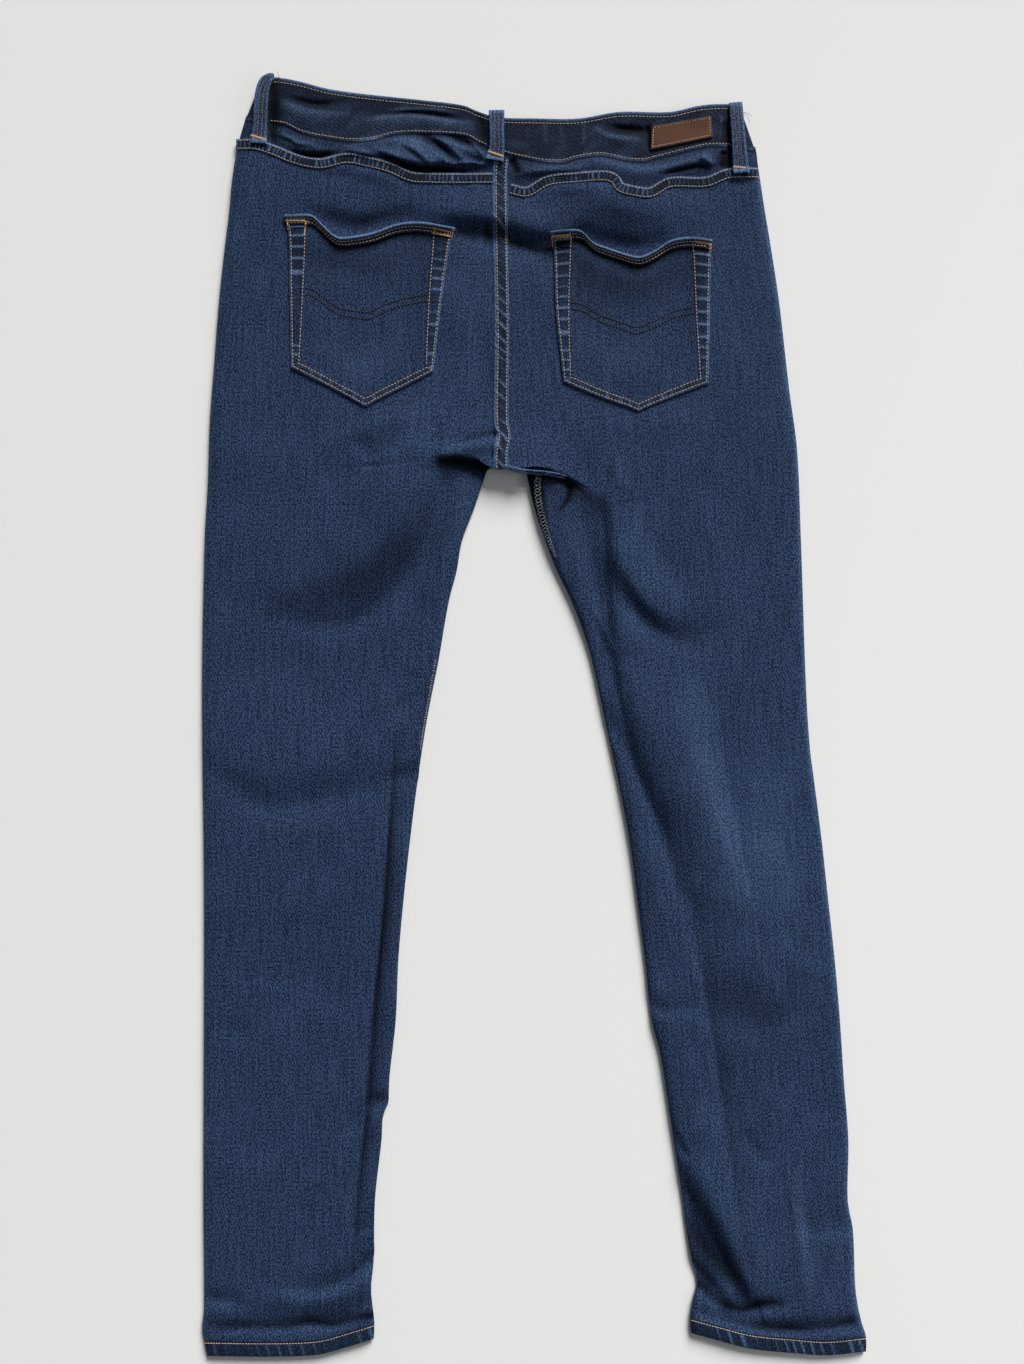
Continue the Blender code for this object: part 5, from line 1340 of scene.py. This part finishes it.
LOOP_THICK = 1.5
LOOP_ROW = 1.6  # half the distance between a loop's rows of stitches
LOOP_STEP = 0.9
LOOP_COLUMNS = 17
LOOP_STAND = 0.4  # the loops lie this far over the band
LOOPS = (
    Loop("loop_left_cloth", "loop_left",
         ((-199.5, 2.6), (-203.2, 3.6), (-206.6, 7.4), (-208.8, 14), (-210, 25), (-210.6, 40), (-211.6, 54)),
         (5, 9.6, 10.6, 10.8, 10.8, 10.8, 11.2, 12.4), 1.6),
    Loop("loop_centre_cloth", "loop_centre", ((-28.4, 28.5), (-28.2, 45), (-28.2, 57), (-30, 67)),
         (12.2, 11.8, 11.2, 11.4, 12, 14.2), 1.6),
    Loop("loop_right_cloth", "loop_right", ((155.6, 22.5), (157.5, 45), (160, 77)),
         (10.4, 10.8, 10.8, 11.4, 13), 1.6),
)
denim_loop = denim(
    "denim_loop", (0.0068, 0.0125, 0.0310), (0.0460, 0.0760, 0.1500), (0.090, 0.155, 0.290), 0.5)


def loop_base(loop, path, line):
    """Height of the cloth under a line of a loop. The left one follows it fully, the others partly."""
    side = body_up(*split(line))
    return side if loop.node == "loop_left" else 0.55 * body_up(*split(path)) + 0.45 * side


loop_paths = {}
for loop in LOOPS:
    path = curve_through(loop.line, LOOP_STEP)
    t = np.linspace(0, 1, len(path))
    half = along_values(loop.width, t) / 2
    stand = BAND_STAND + LOOP_STAND + LOOP_THICK + loop.bow * np.sin(np.pi * np.clip(t * 1.1, 0, 1)) ** 2
    stand = stand - 1.2 * bell(t, 0, 0.04) + bell(t, 0.975, 0.03)
    outer, inner, grain, wear = [], [], [], []
    for share in np.linspace(-1, 1, LOOP_COLUMNS):
        line = beside(path, (share * half)[:, None])
        edge = half * (1 - abs(share))
        soft = 0.75 * (1 - rounding(edge, 1.6)) + 0.3 * bell(half * abs(share), LOOP_ROW, 0.6)
        base = loop_base(loop, path, line)
        up = base + stand - soft + 0.35 * bell(edge, 1.4, 1.0)
        outer.append(place(*split(line), up))
        inner.append(place(*split(line), np.minimum(base + stand - LOOP_THICK, up - THINNEST)))
        grain.append(line * MM)
        worn = bell(edge, 0.6, 0.9) * (0.85 if share > 0 else 0.45)
        wear.append(np.clip(worn + 0.6 * bell(t, 0, 0.05) + 0.8 * bell(t, 0.97, 0.05), 0, 1))
    piece = cloth(loop.name, np.array(outer), np.array(inner), np.array(grain), wear=np.array(wear), seam=0.0)
    finish_cloth(piece, denim_loop, "band_denim", loop.node)
    loop_paths[loop.node] = (path, stand)


# === Leather patch ================================================================================
# A small rectangle of smooth red-brown leather, sewn to the band along its edge. It is bare.

PATCH_CORNERS = (Point(91, 41), Point(137, 33), Point(138, 49), Point(90, 59))
PATCH_WIDE, PATCH_TALL = 47.0, 17.0
LEATHER_THICK = 1.3
LEATHER_LIFT = 0.3


def patch_at(u, v):
    """Across and down of a place on the patch: u from its left to its right edge, v from its top down."""
    tl, tr, br, bl = (np.array(corner, float) for corner in PATCH_CORNERS)
    u, v = u[..., None], v[..., None]
    return (tl * (1 - u) + tr * u) * (1 - v) + (bl * (1 - u) + br * u) * v


def patch_up(u, v):
    """Where a place on the patch lies, and the height of its face there."""
    at = patch_at(u, v)
    edge = np.minimum(np.minimum(u, 1 - u) * PATCH_WIDE, np.minimum(v, 1 - v) * PATCH_TALL)
    soft = 0.5 * (1 - rounding(np.minimum(edge, 0.9), 0.9))
    relief = 0.5 * bell(edge, 0, 1.2) - soft - 0.3 * bell(edge, 1.5, 0.5)
    return at, band_up(*split(at)) + LEATHER_LIFT + LEATHER_THICK + relief


def places_on(tree):
    """The places on a piece, for a texture."""
    return add(tree, "ShaderNodeTexCoord").outputs["Object"]


leather, tree, shader = new_material("leather")
pores = add(tree, "ShaderNodeTexVoronoi", {"Vector": places_on(tree), "Scale": 1700.0}).outputs["Distance"]
blotch = noise(tree, places_on(tree), 60.0, 4.0, 0.6)
feed(tree, shader, {
    "Base Color": mixed(tree, blotch, (0.032, 0.013, 0.008), (0.125, 0.052, 0.029)),
    "Roughness": calc(tree, "MULTIPLY_ADD", blotch, 0.25, 0.42),
    "Normal": add(tree, "ShaderNodeBump", {"Strength": 0.4, "Distance": 0.0002, "Height": pores}).outputs[0],
    "Specular IOR Level": 0.06,
})

u, v = np.meshgrid(np.linspace(0, 1, 60), np.linspace(0, 1, 26))
at, up = patch_up(u, v)
outer = place(*split(at), up)
inner = outer.copy()
inner[..., 2] = np.minimum((band_up(*split(at)) + 0.25) * MM, outer[..., 2] - THINNEST * MM)
finish_cloth(cloth("leather_patch", outer, inner, at * MM), leather, "leather", "patch")


# === Topstitching =================================================================================
# Tan thread, about 2.6 mm to a stitch. Each stitch is a short rounded bead of thread that dips into
# the cloth at both ends. The bar tacks are dense zigzags of orange thread.

STITCH_PITCH = 2.65
STITCH_LONG = 2.15
STITCH_WIDE = 0.72
STITCH_SIDES = 6
STITCH_SHIFT = 0.07  # how unevenly the stitches lie along their row
STITCH_LEAN = 0.03  # and how far they turn out of it
STITCH_REACH = 0.9  # a stitch runs the way of its row over this far to either side
Ring = namedtuple("Ring", "along size rise")
STITCH_RINGS = (
    Ring(-0.5, 0.30, -0.22), Ring(-0.36, 0.85, 0.02), Ring(0.0, 1.0, 0.12), Ring(0.36, 0.85, 0.02),
    Ring(0.5, 0.30, -0.22),
)


def thread_material(name, dark, light, scale=420.0, contrast=1.0):
    mat, tree, shader = new_material(name)
    at = places_on(tree)
    fuzz = calc(tree, "MULTIPLY_ADD", noise(tree, at, scale, 3.0, 0.6), contrast, 0.5 - 0.5 * contrast)
    fuzz = add(tree, "ShaderNodeClamp", {0: fuzz}).outputs[0]
    ply = {"Strength": 0.5, "Distance": 0.0001, "Height": noise(tree, at, 2600.0)}
    feed(tree, shader, {
        "Base Color": mixed(tree, fuzz, dark, light),
        "Roughness": calc(tree, "MULTIPLY_ADD", fuzz, 0.2, 0.5),
        "Normal": add(tree, "ShaderNodeBump", ply).outputs[0],
        "Specular IOR Level": 0.35, "Sheen Weight": 0.15,
    })
    return mat


TAN_THREAD = thread_material("tan_thread", (0.15, 0.105, 0.070), (0.64, 0.50, 0.35))
ORANGE_THREAD = thread_material("orange_thread", (0.36, 0.18, 0.07), (0.84, 0.51, 0.25))
# The mouth's rows use a thread painted lighter, so that they show in the shadow of the rolled mouth.
MOUTH_THREAD_LIGHTENED = thread_material("mouth_thread", (0.34, 0.22, 0.13), (0.90, 0.66, 0.42))
LOOP_THREAD = thread_material("loop_thread", (0.020, 0.018, 0.018), (0.40, 0.29, 0.19), 900.0, 2.2)
PALE_THREAD = thread_material("pale_thread", (0.004, 0.006, 0.012), (0.25, 0.27, 0.33), 1000.0, 4.0)
NAVY_THREAD = thread_material("navy_thread", (0.004, 0.006, 0.013), (0.010, 0.015, 0.030))


def beads(name, centres, ways, long, wide, material):
    """Joined beads of thread. Each has a centre and the way it runs, in metres."""
    centres, ways = np.asarray(centres, float), np.asarray(ways, float)
    ways = ways / np.linalg.norm(ways, axis=1, keepdims=True)
    sides = np.cross(ways, (0.0, 0.0, 1.0))
    sides /= np.linalg.norm(sides, axis=1, keepdims=True)
    ups = np.cross(sides, ways)
    turns = np.arange(STITCH_SIDES) * math.tau / STITCH_SIDES
    ring_points = []
    for ring in STITCH_RINGS:
        round_side = 0.5 * wide * ring.size * np.cos(turns)
        round_up = 0.42 * wide * ring.size * np.sin(turns) + ring.rise * wide
        start = centres + ring.along * np.asarray(long)[:, None] * ways
        ring_points.append(start[:, None] + round_side[None, :, None] * sides[:, None]
                           + round_up[None, :, None] * ups[:, None])
    points = np.stack(ring_points, axis=1)
    count, rings = len(centres), len(STITCH_RINGS)
    index = np.arange(count * rings * STITCH_SIDES).reshape(count, rings, STITCH_SIDES)
    turned = np.roll(index, -1, axis=2)
    walls = np.stack([index[:, :-1], turned[:, :-1], turned[:, 1:], index[:, 1:]], axis=-1).reshape(-1, 4)
    first, last = index[:, 0, ::-1], index[:, -1]
    mesh = bpy.data.meshes.new(name)
    mesh.from_pydata(points.reshape(-1, 3).tolist(), [], walls.tolist() + first.tolist() + last.tolist())
    mesh.polygons.foreach_set("use_smooth", np.ones(len(mesh.polygons), bool))
    piece = bpy.data.objects.new(name, mesh)
    bpy.context.scene.collection.objects.link(piece)
    piece.data.materials.append(material)
    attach(piece, "root")
    return piece


def stitch_rows(name, rows, material, pitch=STITCH_PITCH, long=STITCH_LONG, wide=STITCH_WIDE):
    """Rows of stitches. Each row is an array of points in metres along the face of the cloth."""
    centres, ways = [], []
    rng = np.random.default_rng(SEED + len(name))
    for row in rows:
        run = lengths(row)
        marks = np.arange(pitch * MM / 2, run[-1], pitch * MM)
        marks = marks + rng.normal(0, STITCH_SHIFT * MM, len(marks))
        at, ahead, behind = (
            np.stack([np.interp(marks + shift * MM, run, row[:, k]) for k in range(3)], axis=1)
            for shift in (0.0, STITCH_REACH, -STITCH_REACH))
        centres.append(at)
        ways.append(ahead - behind)
    centres, ways = np.concatenate(centres), np.concatenate(ways)
    ways[:, :2] += rng.normal(0, STITCH_LEAN, (len(ways), 2)) * np.linalg.norm(ways, axis=1, keepdims=True)
    longs = long * MM * rng.uniform(0.9, 1.05, len(centres))
    return beads(name, centres, ways, longs, wide * MM, material)


def seam_row(seam, offset, seed):
    path = curve_through(seam.line, 0.5)
    line = beside(path, offset)
    relief = felled_relief(np.arange(len(path)) * 0.5, offset, seam, seed)
    return place(*split(line), body_up(*split(line)) + SEAM_STAND + relief + 0.12)


for number, seam in enumerate(SEAMS):
    if seam.rows:
        rows = [seam_row(seam, offset, SEAM_SEED + 3 * number) for offset in seam.rows]
        stitch_rows(seam.name + "_stitches", rows, TAN_THREAD)


def band_row(table, shift, start, end):
    across = np.arange(start, end, 0.6)
    down = smooth_at(table, across) + shift
    return place(across, down, band_up(across, down) + 0.05)


stitch_rows("band_stitches", [
    band_row(BAND_TOP, 3.6, -203, 154), band_row(BAND_BOTTOM, -1.8, -203, -35),
    band_row(BAND_BOTTOM, -1.8, -23, 164),
], TAN_THREAD)


POCKET_SPAN = 128.0  # about the width and height of a pocket


def pocket_row(patch, points):
    """A row of stitches on a pocket, through places given as u and v."""
    line = curve_through(np.array(points) * POCKET_SPAN, 0.5) / POCKET_SPAN
    at, up = pocket_up(patch, *split(line))
    return place(*split(at), up + 0.08)


def side_line(patch, inset, right):
    """Places down one side of a pocket, at an inset from it, or along the inner row if that is None."""
    v = np.linspace(0.02, 1.0, 60)
    u = (smooth_at(SIDE_STRIP, v) if inset is None else inset) / pocket_wide(patch, v)
    foot = SEWN_IN if inset else FOOT_STRIP
    keep = (1 - v) * POCKET_TALL * FOOT_SLOPE > foot - 0.3
    return [(1 - a if right else a, b) for a, b in zip(u[keep], v[keep])]


pocket_rows, mouth_rows, design_rows = [], [], []
for patch in POCKETS:
    for inset, foot in ((SEWN_IN, SEWN_IN), (None, FOOT_STRIP)):
        pocket_rows.append(pocket_row(patch, side_line(patch, inset, False)))
        pocket_rows.append(pocket_row(patch, side_line(patch, inset, True)))
        across = np.linspace(foot / 112, 1 - foot / 112, 60)
        level_at = 1 - foot / FOOT_SLOPE / pocket_tall(across)
        pocket_rows.append(pocket_row(patch, list(zip(across, level_at))))
    for depth in MOUTH_ROWS:
        across = np.linspace(0.02, 0.98, 60)
        mouth_rows.append(pocket_row(patch, list(zip(across, depth / pocket_tall(across)))))
    for depth in DESIGN_ROWS:
        design_rows.append(pocket_row(patch, [(u, depth) for u in np.linspace(0.10, 0.90, 50)]))
stitch_rows("pocket_stitches", pocket_rows, TAN_THREAD)
stitch_rows("mouth_stitches", mouth_rows, MOUTH_THREAD_LIGHTENED)
stitch_rows("pocket_design_stitches", design_rows, NAVY_THREAD, wide=1.1)

loop_rows = []
for loop in LOOPS:
    path, stand = loop_paths[loop.node]
    for offset in (-LOOP_ROW, LOOP_ROW):
        line = beside(path, offset)
        loop_rows.append(place(*split(line), loop_base(loop, path, line) + stand - 0.15)[3:-6])
stitch_rows("loop_stitches", loop_rows, LOOP_THREAD, pitch=2.0, long=1.5, wide=0.55)

hem_rows = []
for hem in (LEFT_HEM, RIGHT_HEM):
    across = np.arange(hem[0].across + 1.5, hem[-1].across - 1.0, 0.6)
    down = smooth_at(hem, across) + HEM_SEWN
    gap = np.minimum(across - hem[0].across, hem[-1].across - across)
    top = drooped(across, down, gap) + HEM_STAND + hem_relief(across, down, down - HEM_SEWN)
    hem_rows.append(place(across, down, SEAM_UP + (top - SEAM_UP) * rounding(gap, ROLL) + 0.1))
stitch_rows("hem_stitches", hem_rows, TAN_THREAD, pitch=2.25, long=2.1)

border = []
corners = ((0.033, 0.09), (0.967, 0.09), (0.967, 0.91), (0.033, 0.91))
for start, end in zip(corners, corners[1:] + corners[:1]):
    at, up = patch_up(*split(np.linspace(start, end, 60)))
    border.append(place(*split(at), up + 0.1))
stitch_rows("patch_stitches", border, TAN_THREAD, pitch=2.1, long=1.5, wide=0.8)

u, v = np.meshgrid(np.linspace(0, 1, 120), np.linspace(0, 0.2, 60))
mouths = {patch.node: pocket_up(patch, u, v) for patch in POCKETS}


def pocket_height_at(node, at):
    """Height of a pocket's face at a place given as across and down."""
    places, up = mouths[node]
    nearest = np.argmin(np.hypot(*split(places - at)))
    return float(up.ravel()[nearest])


# Chain-like edges of the inseams, and a few loose thread ends
Rope = namedtuple("Rope", "line inseam top foot")  # top and foot are the swings of its strands there

CHAIN_LINK = 5.2
CHAIN_STAND = 0.5  # middle of its strands over the cloth
CHAIN_CROSS = 0.35  # how far they rise and sink where they cross
CHAIN_NARROW = 66.0  # a chain is at its narrowest this far along
ROPES = (
    Rope(((4.2, 310), (3.0, 317), (3.4, 325), (4.6, 334), (6.6, 342), (9.2, 352), (13, 363), (17, 373)),
         RIGHT_INSEAM, 2.3, 0.805),
    Rope(((-75.5, 452), (-79.5, 474), (-84, 500), (-87.5, 522)), LEFT_INSEAM, 0.4, 0.4),
)
LOOSE_ENDS = (  # each one's line, and how far it lies over the seat
    (((-197.5, -1.6), (-196.8, 0.6), (-196, 2.6), (-195.2, 5.0), (-196.4, 7.0)), 1.2),
    (((-198, 3), (-195, 4), (-193.6, 6)), 1.2),
    (((161, 30.2), (165, 31.2), (168.4, 33.0)), 2.9),
    (((160.8, 29.8), (162.6, 31.4), (165.4, 34.6), (166.6, 38.6)), 2.9),
)


def leg_up(across, down, inseam):
    """Height of a leg's face beside its rounded inseam."""
    gap = np.maximum((across - smooth_at(inseam, down)) * (1 if inseam is RIGHT_INSEAM else -1), 0)
    return BACK_SEAM + (drooped(across, down, gap) - BACK_SEAM) * rounding(gap, ROLL)


rope_rows = []
for rope in ROPES:
    path = curve_through(rope.line, 0.45)
    along = np.arange(len(path)) * 0.45
    reach = rope.foot + (rope.top - rope.foot) * ease((CHAIN_NARROW - along) / 30)
    for phase in (0.0, 0.5):
        turn = math.tau * (along / CHAIN_LINK + phase)
        line = beside(path, (reach * np.sin(turn))[:, None])
        stand = CHAIN_STAND + CHAIN_CROSS * np.cos(turn)
        rope_rows.append(place(*split(line), leg_up(*split(line), rope.inseam) + stand))
stitch_rows("inseam_chain", rope_rows, PALE_THREAD, pitch=2.1, long=1.8, wide=0.85)
loose_rows = []
for points, stand in LOOSE_ENDS:
    path = curve_through(points, 0.3)
    loose_rows.append(place(*split(path), body_up(*split(path)) + stand))
stitch_rows("loose_ends", loose_rows, PALE_THREAD, pitch=0.55, long=0.8, wide=0.32)

# Bar tacks: where each lies, how long and wide it is, which way it runs, and what it is sewn on
Tack = namedtuple("Tack", "across down long wide turn on")

TACKS = (
    Tack(-183.5, 113.6, 15.5, 2.0, 1, "pocket_left"), Tack(-175.8, 119.5, 11, 1.1, 98, "pocket_left"),
    Tack(-189.3, 117.5, 6.5, 1.0, 84, "pocket_left"), Tack(-70.5, 120.9, 15, 2.0, 13, "pocket_left"),
    Tack(-71.0, 124.6, 14, 1.0, 12, "pocket_left"), Tack(-62.5, 124.5, 7, 1.0, 100, "pocket_left"),
    Tack(21.5, 125.4, 14.5, 2.2, -4, "pocket_right"), Tack(14.6, 130.5, 7, 1.0, 84, "pocket_right"),
    Tack(130.6, 130.6, 12.5, 2.0, 9, "pocket_right"), Tack(136.4, 134.6, 6, 1.0, 96, "pocket_right"),
    Tack(-211.8, 49.8, 12, 2.2, 17, "loop_left"), Tack(-28.8, 62.4, 12.5, 2.1, 18, "loop_centre"),
    Tack(159.5, 72.8, 11, 2.0, 5, "loop_right"),
)
LOOP_TACK_UP = {"loop_left": 3.2, "loop_centre": 3.2, "loop_right": 2.9}
TACK_STEP = 0.42
TACK_LEAN = 0.35
TACK_THREAD = 0.5
centres, ways, longs = [], [], []
for tack in TACKS:
    turn = math.radians(tack.turn)
    way = np.array([math.cos(turn), math.sin(turn)])
    cross = np.array([-way[1], way[0]])
    for k, s in enumerate(np.arange(-tack.long / 2, tack.long / 2, TACK_STEP)):
        at = np.array([tack.across, tack.down]) + way * s
        lean = cross + way * (TACK_LEAN if k % 2 else -TACK_LEAN)
        if tack.on in LOOP_TACK_UP:
            up = float(body_up(*at)) + LOOP_TACK_UP[tack.on]
        else:
            up = pocket_height_at(tack.on, at) + 0.25
        centres.append(place(*at, up))
        ways.append((lean[0], -lean[1], 0.0))
        longs.append(tack.wide * MM)
beads("bar_tacks", centres, ways, longs, TACK_THREAD * MM, ORANGE_THREAD)


# === Zip and button ===============================================================================
# Both are hidden under the back: the plain tape of a closed zip, and the brass head of a shank button
# that lies face down on the floor.

brass, tree, shader = new_material("brass")
tarnish = noise(tree, places_on(tree), 300.0, 4.0, 0.6)
feed(tree, shader, {
    "Base Color": mixed(tree, tarnish, (0.30, 0.17, 0.07), (0.72, 0.50, 0.24)),
    "Roughness": calc(tree, "MULTIPLY_ADD", tarnish, 0.3, 0.25), "Metallic": 1.0,
})

zip_tape, tree, shader = new_material("zip_tape")
wave = {"Vector": places_on(tree), "Scale": 260.0, "Distortion": 0.4}
ribs = add(tree, "ShaderNodeTexWave", wave, bands_direction="X").outputs["Fac"]
feed(tree, shader, {
    "Base Color": mixed(tree, ribs, (0.010, 0.014, 0.028), (0.030, 0.040, 0.075)), "Roughness": 0.8,
})
for node, material in (("button", brass), ("fly_zip", zip_tape)):
    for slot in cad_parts[node].material_slots:
        slot.material = material


# === Floor, light and camera ======================================================================
# A pale sheet under the jeans, soft daylight that comes in low over the top of the picture and a
# little from its right, a weak glow on the right, and the camera straight above.

FLOOR_WIDE = 6.0
FLOOR_UNDER = 0.0004  # the sheet lies this far under the cloth
bpy.ops.object.select_all(action="DESELECT")
bpy.ops.mesh.primitive_plane_add(size=FLOOR_WIDE, location=(0, 0, -FLOOR_UNDER))
floor = bpy.context.object
floor.name = "floor"

bpy.context.scene.view_settings.view_transform = "Standard"
world = bpy.data.worlds.new("soft_room")
bpy.context.scene.world = world
world.use_nodes = True
background = world.node_tree.nodes["Background"]
feed(world.node_tree, background, {"Color": (0.93, 0.96, 1.0, 1), "Strength": 0.15})


def aimed(name, kind, at, aim, **settings):
    """A light at one place, turned towards another."""
    data = bpy.data.lights.new(name, kind)
    for setting, value in settings.items():
        setattr(data, setting, value)
    light = bpy.data.objects.new(name, data)
    bpy.context.scene.collection.objects.link(light)
    light.location = at
    light.rotation_euler = (Vector(aim) - Vector(at)).to_track_quat("-Z", "Y").to_euler()


DAYLIGHT = (1.0, 0.99, 0.97)
aimed("window", "SUN", (1.41, 3.5, 2.05), (0, 0, 0), energy=5.1, angle=math.radians(26), color=DAYLIGHT)
aimed("side_glow", "AREA", (1.5, -0.1, 0.9), (0.45, -0.1, 0), shape="DISK", size=0.6, energy=3.5,
      color=DAYLIGHT)

SENSOR = 36.0
VIEW_LONG = 1050.3  # the picture's long side, measured on the floor
camera_data = bpy.data.cameras.new("camera")
camera = bpy.data.objects.new("camera", camera_data)
bpy.context.scene.collection.objects.link(camera)
camera.location = ((EYE_ACROSS - MIDDLE) * MM, (LENGTH / 2 - EYE_DOWN) * MM, EYE_UP * MM)
camera_data.sensor_width = SENSOR
camera_data.lens = SENSOR * EYE_UP / VIEW_LONG
bpy.context.scene.camera = camera
